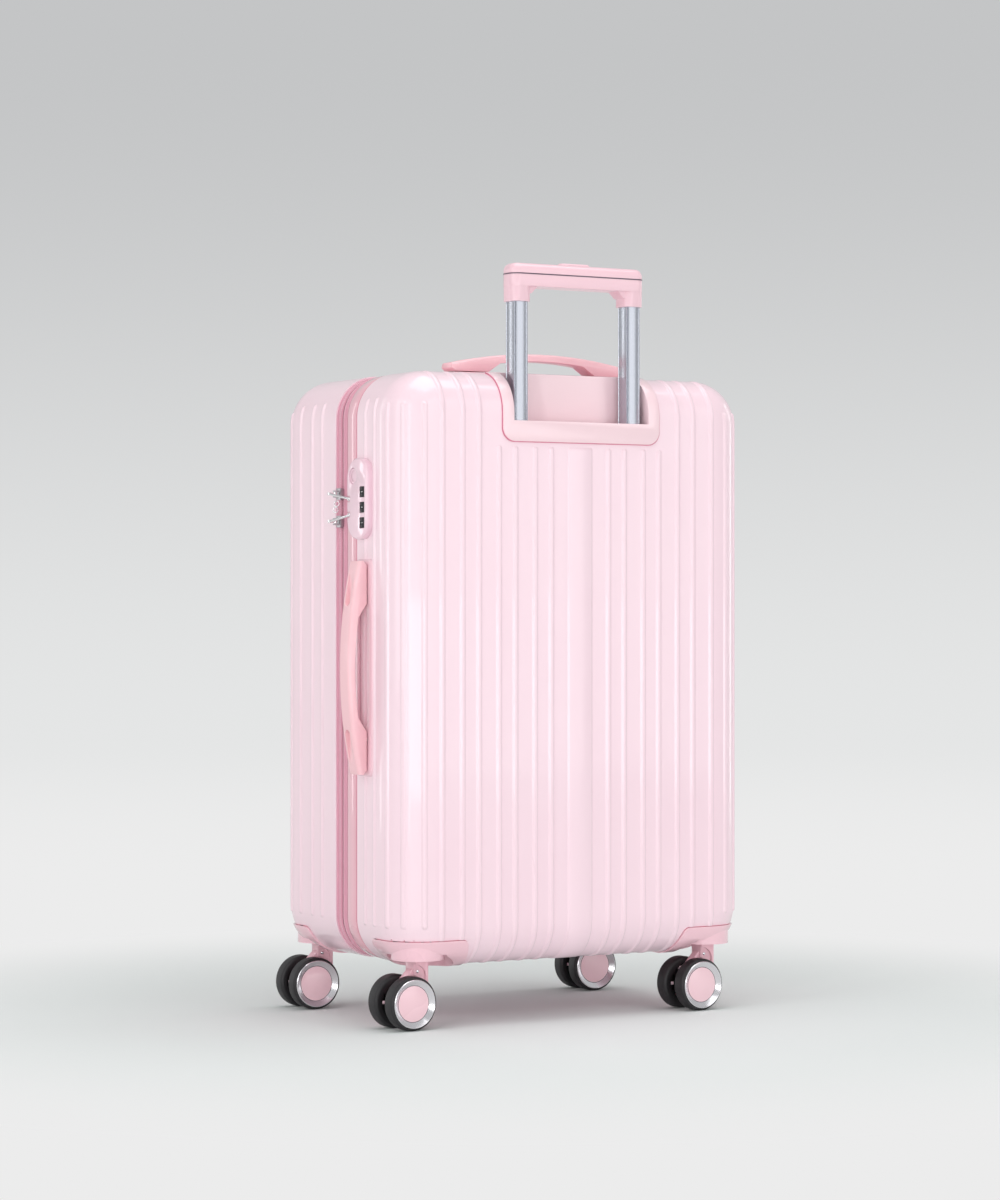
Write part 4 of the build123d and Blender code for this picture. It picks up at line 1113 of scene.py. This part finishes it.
world = bpy.data.worlds.new("studio")
bpy.context.scene.world = world
world.use_nodes = True
sky, sky_links = world.node_tree.nodes, world.node_tree.links
direction = sky.new("ShaderNodeTexCoord")
height = sky.new("ShaderNodeSeparateXYZ")
sky_links.new(direction.outputs["Generated"], height.inputs["Vector"])
rise = soft_step(sky, sky_links, height.outputs["Z"], -0.05, 0.17)
wall = two_greys(sky, sky_links, rise, HORIZON_GREY, UPPER_GREY)
room = sky["Background"]
room.inputs["Color"].default_value = (1, 0.99, 0.98, 1)
room.inputs["Strength"].default_value = 0.46
seen_wall = sky.new("ShaderNodeBackground")
sky_links.new(wall, seen_wall.inputs["Color"])
choice = sky.new("ShaderNodeMixShader")
sky_links.new(seen_directly(sky, sky_links), choice.inputs["Fac"])
sky_links.new(room.outputs["Background"], choice.inputs[1])
sky_links.new(seen_wall.outputs["Background"], choice.inputs[2])
sky_links.new(choice.outputs["Shader"], sky["World Output"].inputs["Surface"])


def soft_lamp(name, place, aim, width, height, power):
    """A large rectangular studio lamp turned towards a point."""
    lamp = bpy.data.lights.new(name, "AREA")
    lamp.shape = "RECTANGLE"
    lamp.size, lamp.size_y, lamp.energy = width, height, power
    holder = bpy.data.objects.new(name, lamp)
    bpy.context.scene.collection.objects.link(holder)
    holder.location = place
    holder.rotation_euler = (Vector(aim) - Vector(place)).to_track_quat("-Z", "Y").to_euler()


CASE_AIM = (CASE.x, 0, CASE.z)
soft_lamp("lamp_main", (0.95, -2.75, 1.2), CASE_AIM, 2.1, 2.3, 16)
soft_lamp("lamp_left", (-2.6, -0.7, 1.3), CASE_AIM, 1.2, 2.2, 15)
soft_lamp("lamp_top", (0.2, -0.3, 2.9), CASE_AIM, 2.2, 1.8, 27)
soft_lamp("strip_left", (-2.0, -1.7, 0.9), CASE_AIM, 0.2, 1.9, 5)
soft_lamp("strip_right", (3.0, 0.3, 0.9), CASE_AIM, 0.3, 1.9, 6)
soft_lamp("strip_back", (-1.75, 2.2, 0.9), CASE_AIM, 0.25, 1.9, 5)
soft_lamp("lamp_low", (-1.1, -2.4, 0.26), (-0.2, 0, 0.05), 2.4, 0.35, 10)

TURN = math.radians(-30)
AIM_HEIGHT = 0.421
DISTANCE = 3.507
ASIDE = 0.0133
FOCAL_LENGTH = 99.9
away = Vector((math.sin(TURN), -math.cos(TURN), 0))
right = Vector((math.cos(TURN), math.sin(TURN), 0))
lens = bpy.data.cameras.new("camera")
lens.lens = FOCAL_LENGTH
lens.sensor_width = 36
lens.clip_end = 60
lens.shift_y = 7 / 1200
camera = bpy.data.objects.new("camera", lens)
bpy.context.scene.collection.objects.link(camera)
camera.location = Vector((CASE.x, 0, AIM_HEIGHT)) + away * DISTANCE - right * ASIDE
camera.rotation_euler = (-away).to_track_quat("-Z", "Y").to_euler()
bpy.context.scene.camera = camera
bpy.context.scene.view_settings.view_transform = "Standard"
